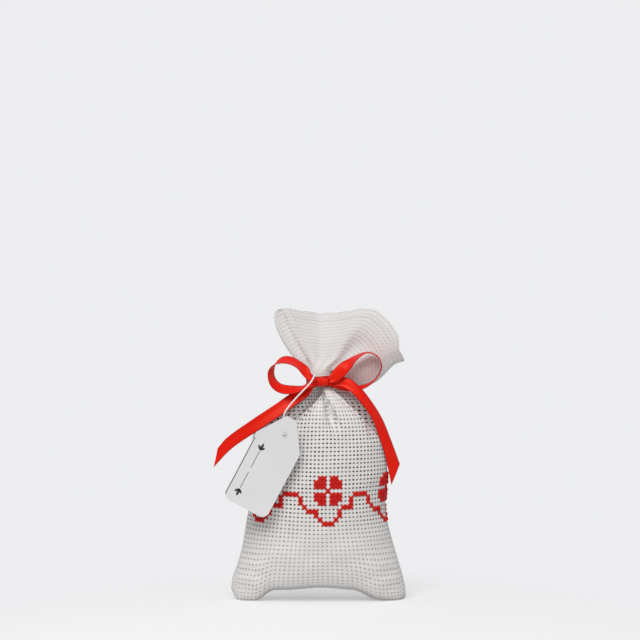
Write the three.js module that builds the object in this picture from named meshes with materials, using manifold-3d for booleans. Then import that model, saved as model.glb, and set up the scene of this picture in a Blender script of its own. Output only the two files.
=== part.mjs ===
// Lavender sachet: a cross-stitched bag of evenweave cloth, tied with a satin ribbon bow,
// with a card tag hung on a string. Millimetres, +Z up, front towards -Y.
import * as THREE from 'three';
import Module from 'manifold-3d';
import { mergeVertices } from 'three/addons/utils/BufferGeometryUtils.js';

const wasm = await Module();
wasm.setup();

// Cloth and clearances
const CELL = 25.4 / 14;
const CELLS_ROUND = 90;
const CLOTH_THICKNESS = 0.8;
const HEM_EXTRA = 0.5;
const HEM_WIDTH = 5;
const CLEARANCE = 0.3;

// Bag below the tie
const BELLY_HEIGHT = 54;
const TIE_HEIGHT = 99.6;
const BASE_HALF_WIDTH = 40.3;
const BELLY_HALF_WIDTH = 31.6;
const WAIST_DENT = 0.8;
const BELLY_HALF_DEPTH = 19.2;
const SEAM_HALF_DEPTH = 0.8;
const NECK_HALF_WIDTH = 5.6;
const NECK_HALF_DEPTH = 4.8;
const NECK_X = 1.2;
const ARCH_HEIGHT = 4.6;
const EAR_SINK = 1;
const FOOT_SLOPE = 0.12;
const PLEAT_DEPTH = 0.24;
const FILLING_TOP = 82;
const FILLING_GAP = 0.7;

// Mouth above the tie
const MOUTH_LENGTH = 41;
const MOUTH_DIP = 9;
const MOUTH_HALF_GAP = 4.6;
const MOUTH_LEFT_ANGLE = 123;
const MOUTH_RIGHT_ANGLE = 15;
const MOUTH_DROOP = 17;
const MOUTH_LEAN_BACK = 13;
const MOUTH_FLAP_FORWARD = 6;
const MOUTH_HOLLOW = 3.5;

// Embroidery
const BORDER_HEIGHT = 37;
const BORDER_SIDE_RISE = 1.5;
const ROW_STRETCH = 1.03;
const BORDER_SHIFT_CELLS = 2.4;
const REPEATS = 5;
const STITCH_THICKNESS = 0.7;
const STITCH_SPREAD = 0.13;

// Ribbon
const RIBBON_WIDTH = 6;
const RIBBON_THICKNESS = 0.4;
const WRAP_HEIGHT = 4.6;
const WRAP_THICKNESS = 0.9;
const KNOT_HALF_WIDTH = 2.8;
const KNOT_HALF_DEPTH = 2.3;
const KNOT_HALF_HEIGHT = 2.5;
const KNOT_X = 1.8;
const KNOT_RISE = 1.1;

// Tag and string
const TAG_WIDTH = 22;
const TAG_LENGTH = 45.5;
const TAG_THICKNESS = 0.6;
const TAG_TOP_FLAT = 4.8;
const TAG_SHOULDER = 12.5;
const TAG_CORNER_RADIUS = 3.5;
const TAG_HOLE_RADIUS = 1.1;
const TAG_HOLE_DROP = 7;
const TAG_LEAN = 28;
const TAG_STANDOFF = 1.6;
const TAG_HOLE_LEFT = 15.4;
const TAG_HOLE_BELOW_TIE = 21;
const STRING_RADIUS = 0.42;
const STRING_LOOP_RADIUS = 3.3;
const STRING_LOOP_LEFT = 3.6;
const STRING_LOOP_FORWARD = 0.9;
const STOPPER_RADIUS = 1.4;

// Fineness of the faceting
const COLUMNS = 48;
const FILLING_COLUMNS = 24;
const WRAP_COLUMNS = 32;
const LOWER_RINGS = 12;
const UPPER_RINGS = 8;
const MOUTH_RINGS = 9;
const RIBBON_STEPS = 23;
const STRING_SIDES = 8;
const STRING_STEPS = 16;

const mix = THREE.MathUtils.lerp;
const rad = THREE.MathUtils.degToRad;
const smooth = (from, to, value) => THREE.MathUtils.smoothstep(value, from, to);
const bell = (value, centre, spread) => Math.exp(-(((value - centre) / spread) ** 2));

const clothMaterial = new THREE.MeshStandardMaterial({ color: 0xe4e0d9, roughness: 0.95 });
const fillingMaterial = new THREE.MeshStandardMaterial({ color: 0x7b6c92, roughness: 1 });
const flossMaterial = new THREE.MeshStandardMaterial({ color: 0xcc1c18, roughness: 0.7 });
const ribbonMaterial = new THREE.MeshStandardMaterial({ color: 0xe0200f, roughness: 0.35 });
const cardMaterial = new THREE.MeshStandardMaterial({ color: 0xf0efee, roughness: 0.85 });
const stringMaterial = new THREE.MeshStandardMaterial({ color: 0xf6f3ee, roughness: 0.9 });

const sachet = new THREE.Group();

function addMesh(name, geometry, material, parent = sachet) {
  const mesh = new THREE.Mesh(geometry, material);
  mesh.name = name;
  parent.add(mesh);
  return mesh;
}

function geometryFrom(points, triangles) {
  const geometry = new THREE.BufferGeometry();
  const positions = points.flatMap((point) => [point.x, point.y, point.z]);
  geometry.setAttribute('position', new THREE.Float32BufferAttribute(positions, 3));
  geometry.setIndex(triangles.flat());
  geometry.computeVertexNormals();
  return geometry;
}

// Two triangles over each square between one ring of points and the next
function wallBetween(lower, upper, count) {
  const triangles = [];
  for (let column = 0; column < count; column += 1) {
    const next = (column + 1) % count;
    triangles.push([lower + column, lower + next, upper + next]);
    triangles.push([lower + column, upper + next, upper + column]);
  }
  return triangles;
}

// A flat end across a ring: its front half is stitched to its back half, left to right
function capAcross(first, count, facesUp) {
  const triangles = [];
  const front = (step) => first + ((step + count) % count);
  const back = (step) => first + ((count / 2 - step + count) % count);
  for (let step = -count / 4; step < count / 4; step += 1) {
    const corners = [front(step), front(step + 1), back(step + 1), back(step)];
    for (const [p, q, r] of [[0, 1, 2], [0, 2, 3]]) {
      const triangle = [corners[p], corners[q], corners[r]];
      if (new Set(triangle).size === 3) {
        triangles.push(facesUp ? triangle : triangle.reverse());
      }
    }
  }
  return triangles;
}

// A closed body from a stack of rings; its ends are capped, or joined to each other
function bodyFromRings(rings, joinEnds = false) {
  const count = rings[0].length;
  const triangles = [];
  for (let ring = 0; ring + 1 < rings.length; ring += 1) {
    triangles.push(...wallBetween(ring * count, (ring + 1) * count, count));
  }
  const last = (rings.length - 1) * count;
  if (joinEnds) {
    triangles.push(...wallBetween(last, 0, count));
  } else {
    triangles.push(...capAcross(0, count, false));
    triangles.push(...capAcross(last, count, true));
  }
  return geometryFrom(rings.flat(), triangles);
}

function columnsOf(makePoint, count = COLUMNS) {
  return Array.from({ length: count }, (_, column) => makePoint((column / count) * 2 * Math.PI));
}

// The pouch. Level 0 is the bottom seam, 1 the belly and 2 the tie; the angle starts at the
// front and turns to the right.
const PLEATS = [
  { at: -14, spread: 13, depth: 1 },
  { at: 11, spread: 8, depth: 0.6 },
  { at: 36, spread: 12, depth: 0.8 },
  { at: 84, spread: 14, depth: 0.3 },
  { at: 124, spread: 14, depth: 0.9 },
  { at: 163, spread: 13, depth: 0.8 },
  { at: -158, spread: 13, depth: 0.9 },
  { at: -118, spread: 14, depth: 0.8 },
  { at: -76, spread: 14, depth: 0.3 },
];
const PLEAT_STARTS = 0.38;
const PLEAT_FULL = 0.86;
const PLEAT_EASING = 0.55;
const SHOULDER_END = 0.97;
const SHOULDER_ROUNDNESS = 5;
const FRONT_ROUNDNESS = 1.7;
const BOTTOM_POWER = 2 / 3;
const LEFT_EAR = { from: 20, to: 30.5, tipRise: 5 };
const RIGHT_EAR = { from: 9, to: 30.5, tipRise: 1.8 };
const EAR_TIP_LENGTH = 4.5;
const WAIST_RISE = 0.8;
const WAIST_SPREAD = 0.15;

// Each ear stands on a flat pad that narrows outwards; the cloth rises evenly away from it
const PAD = { inner: 31.9, outer: 37.3, innerHalfDepth: 4.5, outerHalfDepth: 0.35 };

function floorUnder(x, y) {
  const across = Math.abs(x);
  const share = (across - PAD.inner) / (PAD.outer - PAD.inner);
  const narrowing = (PAD.innerHalfDepth - PAD.outerHalfDepth) / (PAD.outer - PAD.inner);
  const beside = Math.abs(y) - mix(PAD.innerHalfDepth, PAD.outerHalfDepth, share);
  const away = Math.max(PAD.inner - across, across - PAD.outer, beside / Math.hypot(1, narrowing), 0);
  return FOOT_SLOPE * away;
}

function pleatAt(angle, share) {
  const degrees = THREE.MathUtils.radToDeg(Math.atan2(Math.sin(angle), Math.cos(angle)));
  const easing = PLEAT_EASING * smooth(PLEAT_FULL, 1, share);
  const fade = smooth(PLEAT_STARTS, PLEAT_FULL, share) * (1 - easing);
  const valleys = PLEATS.map((pleat) => {
    const away = Math.abs(degrees - pleat.at);
    return pleat.depth * bell(Math.min(away, 360 - away), 0, pleat.spread);
  });
  return PLEAT_DEPTH * fade * Math.max(...valleys);
}

function shoulderSize(share) {
  const reach = Math.min(share / SHOULDER_END, 1);
  const narrowing = 1 - reach ** SHOULDER_ROUNDNESS;
  const flattening = 1 - reach ** FRONT_ROUNDNESS;
  return {
    halfWidth: mix(NECK_HALF_WIDTH, BELLY_HALF_WIDTH, narrowing),
    halfDepth: mix(NECK_HALF_DEPTH, BELLY_HALF_DEPTH, flattening),
  };
}

function lowLine(x) {
  const side = x < 0 ? LEFT_EAR : RIGHT_EAR;
  const ear = smooth(side.from, side.to, Math.abs(x));
  const tip = smooth(BASE_HALF_WIDTH - EAR_TIP_LENGTH, BASE_HALF_WIDTH, Math.abs(x));
  return mix(ARCH_HEIGHT, -EAR_SINK, ear) + side.tipRise * tip ** 2;
}

function lowerPoint(angle, level) {
  const turn = (level * Math.PI) / 2;
  const depthShare = Math.sin(turn) ** BOTTOM_POWER;
  const drop = Math.max(Math.cos(turn), 0) ** BOTTOM_POWER;
  const rise = 1 - drop;
  const halfDepth = mix(SEAM_HALF_DEPTH, BELLY_HALF_DEPTH, depthShare);
  const taper = smooth(0, WAIST_RISE, rise);
  const dent = WAIST_DENT * bell(rise, WAIST_RISE, WAIST_SPREAD);
  const halfWidth = mix(BASE_HALF_WIDTH, BELLY_HALF_WIDTH, taper) - dent;
  const x = halfWidth * Math.sin(angle);
  const y = -halfDepth * Math.cos(angle);
  const z = Math.max(BELLY_HEIGHT - (BELLY_HEIGHT - lowLine(x)) * drop, floorUnder(x, y));
  return new THREE.Vector3(x, y, z);
}

function upperPoint(angle, share) {
  const { halfWidth, halfDepth } = shoulderSize(share);
  const gather = 1 - pleatAt(angle, share);
  const x = NECK_X * share + halfWidth * gather * Math.sin(angle);
  const y = -halfDepth * gather * Math.cos(angle);
  return new THREE.Vector3(x, y, mix(BELLY_HEIGHT, TIE_HEIGHT, share));
}

// A point of the pouch, moved inwards level with the floor by the inset
function pouchPoint(angle, level, inset = 0) {
  const point = level < 1 ? lowerPoint(angle, level) : upperPoint(angle, level - 1);
  const middle = level < 1 ? 0 : NECK_X * (level - 1);
  const reach = Math.hypot(point.x - middle, point.y);
  const share = (reach - inset) / reach;
  return new THREE.Vector3(middle + (point.x - middle) * share, point.y * share, point.z);
}

// Rings lie closer together at the bottom, where the cloth turns under, and at the tie
const LOWER_CROWDING = 1.7;
const UPPER_CROWDING = 0.75;

function pouchLevels(from, to) {
  const lower = Array.from({ length: LOWER_RINGS }, (_, ring) => {
    const rise = (ring / LOWER_RINGS) ** LOWER_CROWDING;
    return (Math.acos((1 - rise) ** (1 / BOTTOM_POWER)) * 2) / Math.PI;
  });
  const upper = Array.from({ length: UPPER_RINGS }, (_, ring) => {
    return 1 + SHOULDER_END * (ring / (UPPER_RINGS - 1)) ** UPPER_CROWDING;
  });
  return [...lower, ...upper, 2].filter((level) => level >= from && level <= to);
}

const CAVITY_FLOOR_LEVEL = 0.36;
const FILLING_FLOOR_LEVEL = 0.45;

function makePouch() {
  const outer = pouchLevels(0, 2).map((level) => columnsOf((angle) => pouchPoint(angle, level)));
  const inner = pouchLevels(CAVITY_FLOOR_LEVEL, 2)
    .reverse()
    .map((level) => columnsOf((angle) => pouchPoint(angle, level, CLOTH_THICKNESS)));
  return bodyFromRings([...outer, ...inner]);
}

function makeFilling() {
  const topLevel = 1 + (FILLING_TOP - BELLY_HEIGHT) / (TIE_HEIGHT - BELLY_HEIGHT);
  const inset = CLOTH_THICKNESS + FILLING_GAP;
  const levels = [...pouchLevels(FILLING_FLOOR_LEVEL, topLevel), topLevel];
  const ring = (level) => columnsOf((angle) => pouchPoint(angle, level, inset), FILLING_COLUMNS);
  return bodyFromRings(levels.map(ring));
}

// The front of the bag at a place above the belly, or Infinity beside the bag
function frontOfBag(x, z) {
  const share = THREE.MathUtils.clamp((z - BELLY_HEIGHT) / (TIE_HEIGHT - BELLY_HEIGHT), 0, 1);
  const { halfWidth, halfDepth } = shoulderSize(share);
  const across = (x - NECK_X * share) / halfWidth;
  return Math.abs(across) >= 1 ? Infinity : -halfDepth * Math.sqrt(1 - across ** 2);
}

// The mouth. Side runs from -1 at its left edge to 1 at its right edge; the reach from the
// tie to the rim runs from 0 to 1.
const MOUTH_SPREAD_FROM = 0.07;
const MOUTH_SPREAD_TO = 0.36;
const LEAN_BACK = { side: -0.35, spread: 0.45, power: 1.6 };
const FLAP = { side: 0.72, spread: 0.35, power: 2 };
const HOLLOW = { side: 0.36, spread: 0.2 };
const DIP = { side: -0.36, spread: 0.4 };
const DROOP_FROM = 0.3;

function mouthLean(side, reach) {
  const back = MOUTH_LEAN_BACK * reach ** LEAN_BACK.power * bell(side, LEAN_BACK.side, LEAN_BACK.spread);
  const forward = MOUTH_FLAP_FORWARD * reach ** FLAP.power * bell(side, FLAP.side, FLAP.spread);
  const hollow = MOUTH_HOLLOW * Math.sin(Math.PI * reach) * bell(side, HOLLOW.side, HOLLOW.spread);
  return back - forward + hollow;
}

function mouthPoint(angle, reach, inset = 0) {
  const side = Math.sin(angle);
  const facing = Math.cos(angle);
  const bottom = TIE_HEIGHT + CLEARANCE;
  const tube = new THREE.Vector3(
    NECK_X + (NECK_HALF_WIDTH - inset) * side,
    -(NECK_HALF_DEPTH - inset) * facing,
    bottom + MOUTH_LENGTH * reach,
  );
  const half = (MOUTH_LEFT_ANGLE - MOUTH_RIGHT_ANGLE) / 2;
  const droop = MOUTH_DROOP * Math.sin(Math.PI * reach) * smooth(DROOP_FROM, 1, side);
  const radius = (MOUTH_LENGTH - MOUTH_DIP * bell(side, DIP.side, DIP.spread)) * reach;
  const edgeInset = THREE.MathUtils.radToDeg(inset / Math.max(radius, CELL));
  const fan = rad(MOUTH_LEFT_ANGLE - half - (half - edgeInset) * side - droop);
  const spread = new THREE.Vector3(
    NECK_X + radius * Math.cos(fan),
    mouthLean(side, reach) - (MOUTH_HALF_GAP - inset) * facing,
    bottom + radius * Math.sin(fan),
  );
  return tube.lerp(spread, smooth(MOUTH_SPREAD_FROM, MOUTH_SPREAD_TO, reach));
}

function makeMouth() {
  const hemFrom = 1 - HEM_WIDTH / MOUTH_LENGTH;
  const hemStep = HEM_EXTRA / MOUTH_LENGTH;
  const reaches = Array.from({ length: MOUTH_RINGS }, (_, ring) => (hemFrom * ring) / (MOUTH_RINGS - 1));
  const ringAt = (reach, inset) => columnsOf((angle) => mouthPoint(angle, reach, inset));
  const outer = reaches.map((reach) => ringAt(reach, 0));
  const hem = [hemFrom + hemStep, 1].map((reach) => ringAt(reach, -HEM_EXTRA));
  const inner = [...reaches, 1].reverse().map((reach) => ringAt(reach, CLOTH_THICKNESS));
  return bodyFromRings([...outer, ...hem, ...inner], true);
}

addMesh('bag_pouch', makePouch(), clothMaterial);
addMesh('bag_mouth', makeMouth(), clothMaterial);
addMesh('lavender_filling', makeFilling(), fillingMaterial);

// Embroidery: the chart counts cells to the right and rows downwards from a clover's middle
const PERIOD = CELLS_ROUND / REPEATS;
const TROUGH_ROW = 8;
const WAVE_RUNS = [
  { column: -1, row: 8, wide: 3, tall: 1 },
  { column: 2, row: 7, wide: 1, tall: 1 },
  { column: 3, row: 5, wide: 1, tall: 2 },
  { column: 4, row: 4, wide: 3, tall: 1 },
  { column: 6, row: 2, wide: 1, tall: 2 },
  { column: 7, row: 1, wide: 4, tall: 1 },
  { column: 11, row: 2, wide: 1, tall: 2 },
  { column: 12, row: 4, wide: 1, tall: 1 },
  { column: 13, row: 5, wide: 3, tall: 1 },
  { column: 15, row: 6, wide: 1, tall: 1 },
  { column: 16, row: 7, wide: 1, tall: 1 },
];

// One petal block and its three mirror images about the centre stitch
function cloverRuns() {
  const runs = [{ column: 0, row: 0, wide: 1, tall: 1 }];
  for (const column of [-1, 1]) {
    for (const row of [-1, 1]) {
      runs.push({ column: column < 0 ? -3 : 1, row: row < 0 ? -2 : 1, wide: 3, tall: 2 });
      runs.push({ column: column < 0 ? -2 : 1, row: row < 0 ? -3 : 1, wide: 2, tall: 3 });
    }
  }
  return runs;
}

// Angles at even steps of cloth round the belly
const ARC_STEPS = 720;
const arcTable = [0];
for (let step = 1; step <= ARC_STEPS; step += 1) {
  const middle = ((step - 0.5) / ARC_STEPS) * 2 * Math.PI;
  const speed = Math.hypot(BELLY_HALF_WIDTH * Math.cos(middle), BELLY_HALF_DEPTH * Math.sin(middle));
  arcTable.push(arcTable[step - 1] + speed);
}

function angleOfCell(cell) {
  const turns = (((cell / CELLS_ROUND) % 1) + 1) % 1;
  const target = turns * arcTable[ARC_STEPS];
  const step = arcTable.findIndex((length, index) => index > 0 && length >= target);
  const part = (target - arcTable[step - 1]) / (arcTable[step] - arcTable[step - 1]);
  return ((step - 1 + part) / ARC_STEPS) * 2 * Math.PI;
}

// The level at which the pouch reaches a height, at one angle
const LEVEL_HALVINGS = 30;

function levelAt(angle, height) {
  let below = 0;
  let above = 2;
  for (let halving = 0; halving < LEVEL_HALVINGS; halving += 1) {
    const middle = (below + above) / 2;
    if (pouchPoint(angle, middle).z < height) {
      below = middle;
    } else {
      above = middle;
    }
  }
  return below;
}

function stitchPoint(column, row, standoff) {
  const angle = angleOfCell(column - 0.5 + BORDER_SHIFT_CELLS);
  const middle = BORDER_HEIGHT + BORDER_SIDE_RISE * Math.sin(angle) ** 2;
  const height = middle + (TROUGH_ROW + 0.5 - row) * CELL * ROW_STRETCH;
  return pouchPoint(angle, levelAt(angle, height), -standoff);
}

function makeRun(run, shift) {
  const top = run.row - STITCH_SPREAD;
  const bottom = run.row + run.tall + STITCH_SPREAD;
  const rings = [];
  for (let cell = 0; cell <= run.wide; cell += 1) {
    const outwards = cell === 0 ? -STITCH_SPREAD : cell === run.wide ? STITCH_SPREAD : 0;
    const column = run.column + shift + cell + outwards;
    const near = CLEARANCE;
    const far = CLEARANCE + STITCH_THICKNESS;
    rings.push([
      stitchPoint(column, bottom, near),
      stitchPoint(column, top, near),
      stitchPoint(column, top, far),
      stitchPoint(column, bottom, far),
    ]);
  }
  return bodyFromSections(rings);
}

// A closed body from a row of four-cornered sections, as of a strip or a pad
function bodyFromSections(sections) {
  const corners = sections[0].length;
  const triangles = [[0, 2, 1], [0, 3, 2]];
  for (let section = 0; section + 1 < sections.length; section += 1) {
    triangles.push(...wallBetween(section * corners, (section + 1) * corners, corners));
  }
  const last = (sections.length - 1) * corners;
  triangles.push([last, last + 1, last + 2], [last, last + 2, last + 3]);
  return geometryFrom(sections.flat(), triangles);
}

function solidFrom(geometry) {
  const bare = geometry.clone();
  bare.deleteAttribute('normal');
  bare.deleteAttribute('uv');
  const merged = mergeVertices(bare);
  return new wasm.Manifold(new wasm.Mesh({
    numProp: 3,
    vertProperties: new Float32Array(merged.attributes.position.array),
    triVerts: new Uint32Array(merged.index.array),
  }));
}

function geometryFromSolid(solid) {
  const mesh = solid.getMesh();
  const geometry = new THREE.BufferGeometry();
  geometry.setAttribute('position', new THREE.BufferAttribute(mesh.vertProperties, mesh.numProp));
  geometry.setIndex(new THREE.BufferAttribute(mesh.triVerts, 1));
  geometry.computeVertexNormals();
  return geometry;
}

function joinRuns(runs, shifts) {
  const solids = shifts.flatMap((shift) => runs.map((run) => solidFrom(makeRun(run, shift))));
  return geometryFromSolid(solids.reduce((joined, solid) => joined.add(solid)));
}

const repeatShifts = Array.from({ length: REPEATS }, (_, repeat) => repeat * PERIOD);
addMesh('stitched_border', joinRuns(WAVE_RUNS, repeatShifts), flossMaterial);
repeatShifts.forEach((shift, index) => {
  addMesh(`stitched_clover_${index + 1}`, joinRuns(cloverRuns(), [shift]), flossMaterial);
});

// Ribbon round the neck
const wrapInnerGap = CLOTH_THICKNESS;
const wrapBottom = TIE_HEIGHT + KNOT_RISE - 0.5 * WRAP_HEIGHT;

function makeWrap() {
  const ring = (grow, z) => columnsOf((angle) => new THREE.Vector3(
    NECK_X + (NECK_HALF_WIDTH + grow) * Math.sin(angle),
    -(NECK_HALF_DEPTH + grow) * Math.cos(angle),
    z,
  ), WRAP_COLUMNS);
  const outerGrow = wrapInnerGap + WRAP_THICKNESS;
  const rings = [
    ring(wrapInnerGap, wrapBottom),
    ring(outerGrow, wrapBottom),
    ring(outerGrow, wrapBottom + WRAP_HEIGHT),
    ring(wrapInnerGap, wrapBottom + WRAP_HEIGHT),
  ];
  return bodyFromRings(rings, true);
}
addMesh('ribbon_neck_wrap', makeWrap(), ribbonMaterial);

// The bow, built round the middle of its knot
const bow = new THREE.Group();
const knotY = -(NECK_HALF_DEPTH + wrapInnerGap + WRAP_THICKNESS + CLEARANCE + KNOT_HALF_DEPTH);
bow.position.set(KNOT_X, knotY, TIE_HEIGHT + KNOT_RISE);
sachet.add(bow);

// The knot is a short barrel with creases that run with the ribbon over it
const KNOT_SQUARENESS = 0.45;
const KNOT_CREASES = 3;
const CREASE_DEPTH = 0.1;

function makeKnot() {
  const geometry = new THREE.SphereGeometry(1, 18, 12);
  const positions = geometry.attributes.position;
  const point = new THREE.Vector3();
  for (let index = 0; index < positions.count; index += 1) {
    point.fromBufferAttribute(positions, index);
    const square = 1 / Math.max(Math.abs(point.x), Math.abs(point.y), Math.abs(point.z));
    point.multiplyScalar(mix(1, square, KNOT_SQUARENESS));
    const reach = Math.max(Math.abs(point.x), Math.abs(point.y), Math.abs(point.z));
    point.divideScalar(Math.max(reach, 1));
    const ripple = Math.cos(KNOT_CREASES * Math.PI * point.x) * (1 - Math.abs(point.x));
    const crease = Math.min(1 - CREASE_DEPTH * ripple, 1);
    positions.setXYZ(
      index,
      point.x * KNOT_HALF_WIDTH,
      point.y * KNOT_HALF_DEPTH * crease,
      point.z * KNOT_HALF_HEIGHT * crease,
    );
  }
  return geometry;
}
addMesh('bow_knot', makeKnot(), ribbonMaterial, bow);

// A ribbon between two edges, each a smooth curve through its own points
function makeRibbon(firstEdge, secondEdge) {
  const first = new THREE.CatmullRomCurve3(firstEdge, false, 'centripetal');
  const second = new THREE.CatmullRomCurve3(secondEdge, false, 'centripetal');
  const sections = [];
  for (let step = 0; step <= RIBBON_STEPS; step += 1) {
    const share = step / RIBBON_STEPS;
    const near = first.getPoint(share);
    const far = second.getPoint(share);
    const along = first.getTangent(share).add(second.getTangent(share)).normalize();
    const across = far.clone().sub(near).normalize();
    const face = along.clone().cross(across).normalize().multiplyScalar(RIBBON_THICKNESS / 2);
    sections.push([
      near.clone().sub(face),
      far.clone().sub(face),
      far.clone().add(face),
      near.clone().add(face),
    ]);
  }
  return bodyFromSections(sections);
}

// Edges of a ribbon from its middle line and how it lies across; widths end up true to size
function ribbonFromLine(line) {
  const edge = (sign) => line.map(({ at, across, width = RIBBON_WIDTH }) => {
    const lie = new THREE.Vector3(...across).setLength(width / 2);
    return new THREE.Vector3(...at).addScaledVector(lie, sign);
  });
  return makeRibbon(edge(-1), edge(1));
}

const loopRootX = KNOT_HALF_WIDTH + CLEARANCE;
const leftLoop = [
  { at: [-loopRootX, -1.8, 1.1], across: [0, 0.2, 2], width: 2.3 },
  { at: [-5.3, -1.7, 1.9], across: [0.2, 0.5, 2], width: 3.7 },
  { at: [-7.4, -0.6, 4.6], across: [1.4, 2.4, 3.2], width: 5.4 },
  { at: [-10.9, 0, 7.9], across: [1.6, 4.9, 2.7] },
  { at: [-15, 0, 9.9], across: [0.9, 4.9, 3.2] },
  { at: [-18.7, 0, 10], across: [1.2, 4.9, 2.8] },
  { at: [-21.8, 0, 8.4], across: [2, 4.9, 2] },
  { at: [-23.3, 0, 5.6], across: [2.5, 5.1, 1.2] },
  { at: [-23.4, 0, 2.4], across: [2.6, 5.1, 1.2] },
  { at: [-22.2, 0, -0.5], across: [2.8, 4.7, 2] },
  { at: [-20, 0, -2.5], across: [2.3, 4.5, 3] },
  { at: [-17.3, 0, -3.4], across: [1.4, 4.4, 3.7] },
  { at: [-13.6, 0, -3.6], across: [1.1, 4.5, 3.3] },
  { at: [-10, 0.2, -3.2], across: [2.4, 4.7, 2.85] },
  { at: [-7.2, -0.4, -1.9], across: [1, 2.2, 2.4], width: 4.6 },
  { at: [-5.2, -0.8, -0.9], across: [0.1, 0.3, 2], width: 3 },
  { at: [-loopRootX, -0.9, -0.6], across: [0, 0.1, 2], width: 2.3 },
];
const rightLoop = [
  { at: [loopRootX, -0.9, 0.9], across: [-0.4, 0.3, 2], width: 3 },
  { at: [6.1, -1, 3], across: [-1.6, 0.6, 4.2], width: 5.4 },
  { at: [9.4, -0.9, 5.9], across: [-2.4, 1.2, 5.4] },
  { at: [12.6, -0.4, 8.5], across: [-1, 4.2, 4] },
  { at: [15.6, -0.4, 11.2], across: [0, 5.5, 2.2] },
  { at: [20.1, -0.6, 13.4], across: [0, 6, 0.4] },
  { at: [23.6, -0.7, 12.7], across: [0, 6, 0.3] },
  { at: [25.9, -0.7, 10.5], across: [0, 6, 0.3] },
  { at: [26.9, -0.5, 7.3], across: [0, 6, 0.3] },
  { at: [25.9, 0.2, 3.9], across: [0, 6, 0.3] },
  { at: [23.6, 1.4, 0.6], across: [0, 5.6, 0.4], width: 5.6 },
  { at: [19.4, 2.6, -2.1], across: [0, 5, 1.2], width: 4.4 },
  { at: [14, 2.9, -3.1], across: [0, 3, 2], width: 3.6 },
  { at: [8.5, 2.2, -2.1], across: [0, 1, 3], width: 3.2 },
  { at: [loopRootX, 1.6, -0.8], across: [0, 0.3, 2], width: 2.4 },
];
addMesh('bow_loop_left', ribbonFromLine(leftLoop), ribbonMaterial, bow);
addMesh('bow_loop_right', ribbonFromLine(rightLoop), ribbonMaterial, bow);

// Tails: each station gives the lower edge, the upper edge and their distance behind the knot
const TAIL_STANDOFF = 1.2;
const FREE_STATIONS = 3;
const rightTail = [
  { lower: [loopRootX, -1.8], upper: [loopRootX, 0.8], behind: [0.4, 0.5] },
  { lower: [6.4, -2.3], upper: [8, 1.6], behind: [0.5, 1.2] },
  { lower: [9.5, -3.1], upper: [12.4, 1], behind: [-0.6, 0.2] },
  { lower: [13, -5.2], upper: [17.4, -2.9], behind: [-2, -0.4] },
  { lower: [17.8, -9.7], upper: [22.2, -8.6], behind: [-3, 0.6] },
  { lower: [23, -17.4], upper: [27.4, -17], behind: [-1.6, 2.4] },
  { lower: [26, -25.4], upper: [31, -25.6], behind: [0.4, 3.4] },
  { lower: [28.8, -34], upper: [33.8, -33], behind: [2.6, 5] },
  { lower: [31.7, -47.3], upper: [35.6, -38], behind: [4.4, 6] },
];
const leftTail = [
  { lower: [-loopRootX, -1.9], upper: [-loopRootX, 0.2], behind: [0, 0] },
  { lower: [-5.2, -3.2], upper: [-5.6, -0.4], behind: [0.5, 0.6] },
  { lower: [-8, -6.6], upper: [-9.6, -2.8], behind: [1.8, 3.2] },
  { lower: [-11.9, -9.9], upper: [-14.8, -5.6], behind: [0.8, 2.4] },
  { lower: [-16.4, -13.2], upper: [-20.2, -9.3], behind: [-1, 0.4] },
  { lower: [-29, -21.8], upper: [-32.2, -17.2], behind: [-2.6, -1.6] },
  { lower: [-41.6, -30.5], upper: [-44, -25.8], behind: [-2, -1.4] },
  { lower: [-49.5, -38.7], upper: [-47.8, -30.2], behind: [-1.6, -1.2] },
];

function tailEdge(stations, side) {
  return stations.map((station, index) => {
    const [x, z] = station[side];
    const wanted = station.behind[side === 'lower' ? 0 : 1];
    const front = frontOfBag(x + KNOT_X, z + bow.position.z) - bow.position.y - TAIL_STANDOFF;
    const y = index < FREE_STATIONS ? wanted : Math.min(wanted, front);
    return new THREE.Vector3(x, y, z);
  });
}

function makeTail(stations) {
  return makeRibbon(tailEdge(stations, 'lower'), tailEdge(stations, 'upper'));
}
addMesh('ribbon_tail_left', makeTail(leftTail), ribbonMaterial, bow);
addMesh('ribbon_tail_right', makeTail(rightTail), ribbonMaterial, bow);

// The tag hangs from its hole before the belly
const tagY = -(BELLY_HALF_DEPTH + CLEARANCE + STITCH_THICKNESS + TAG_STANDOFF);
const hole = new THREE.Vector3(-TAG_HOLE_LEFT, tagY, TIE_HEIGHT - TAG_HOLE_BELOW_TIE);
const tag = new THREE.Group();
tag.position.copy(hole);
tag.rotation.y = rad(TAG_LEAN);
sachet.add(tag);

function makeCard() {
  const half = TAG_WIDTH / 2;
  const top = TAG_HOLE_DROP;
  const shoulder = top - TAG_SHOULDER;
  const bottom = top - TAG_LENGTH;
  const arcX = half - TAG_CORNER_RADIUS;
  const arcZ = bottom + TAG_CORNER_RADIUS;
  const outline = new THREE.Shape();
  outline.moveTo(-TAG_TOP_FLAT / 2, top);
  outline.lineTo(-half, shoulder);
  outline.lineTo(-half, arcZ);
  outline.absarc(-arcX, arcZ, TAG_CORNER_RADIUS, Math.PI, 1.5 * Math.PI);
  outline.absarc(arcX, arcZ, TAG_CORNER_RADIUS, 1.5 * Math.PI, 2 * Math.PI);
  outline.lineTo(half, shoulder);
  outline.lineTo(TAG_TOP_FLAT / 2, top);
  const bore = new THREE.Path();
  bore.absarc(0, 0, TAG_HOLE_RADIUS, 0, 2 * Math.PI, true);
  outline.holes.push(bore);
  const geometry = new THREE.ExtrudeGeometry(outline, {
    depth: TAG_THICKNESS, bevelEnabled: false, curveSegments: 8,
  });
  geometry.rotateX(Math.PI / 2);
  geometry.translate(0, TAG_THICKNESS / 2, 0);
  return geometry;
}
addMesh('tag_card', makeCard(), cardMaterial, tag);

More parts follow.
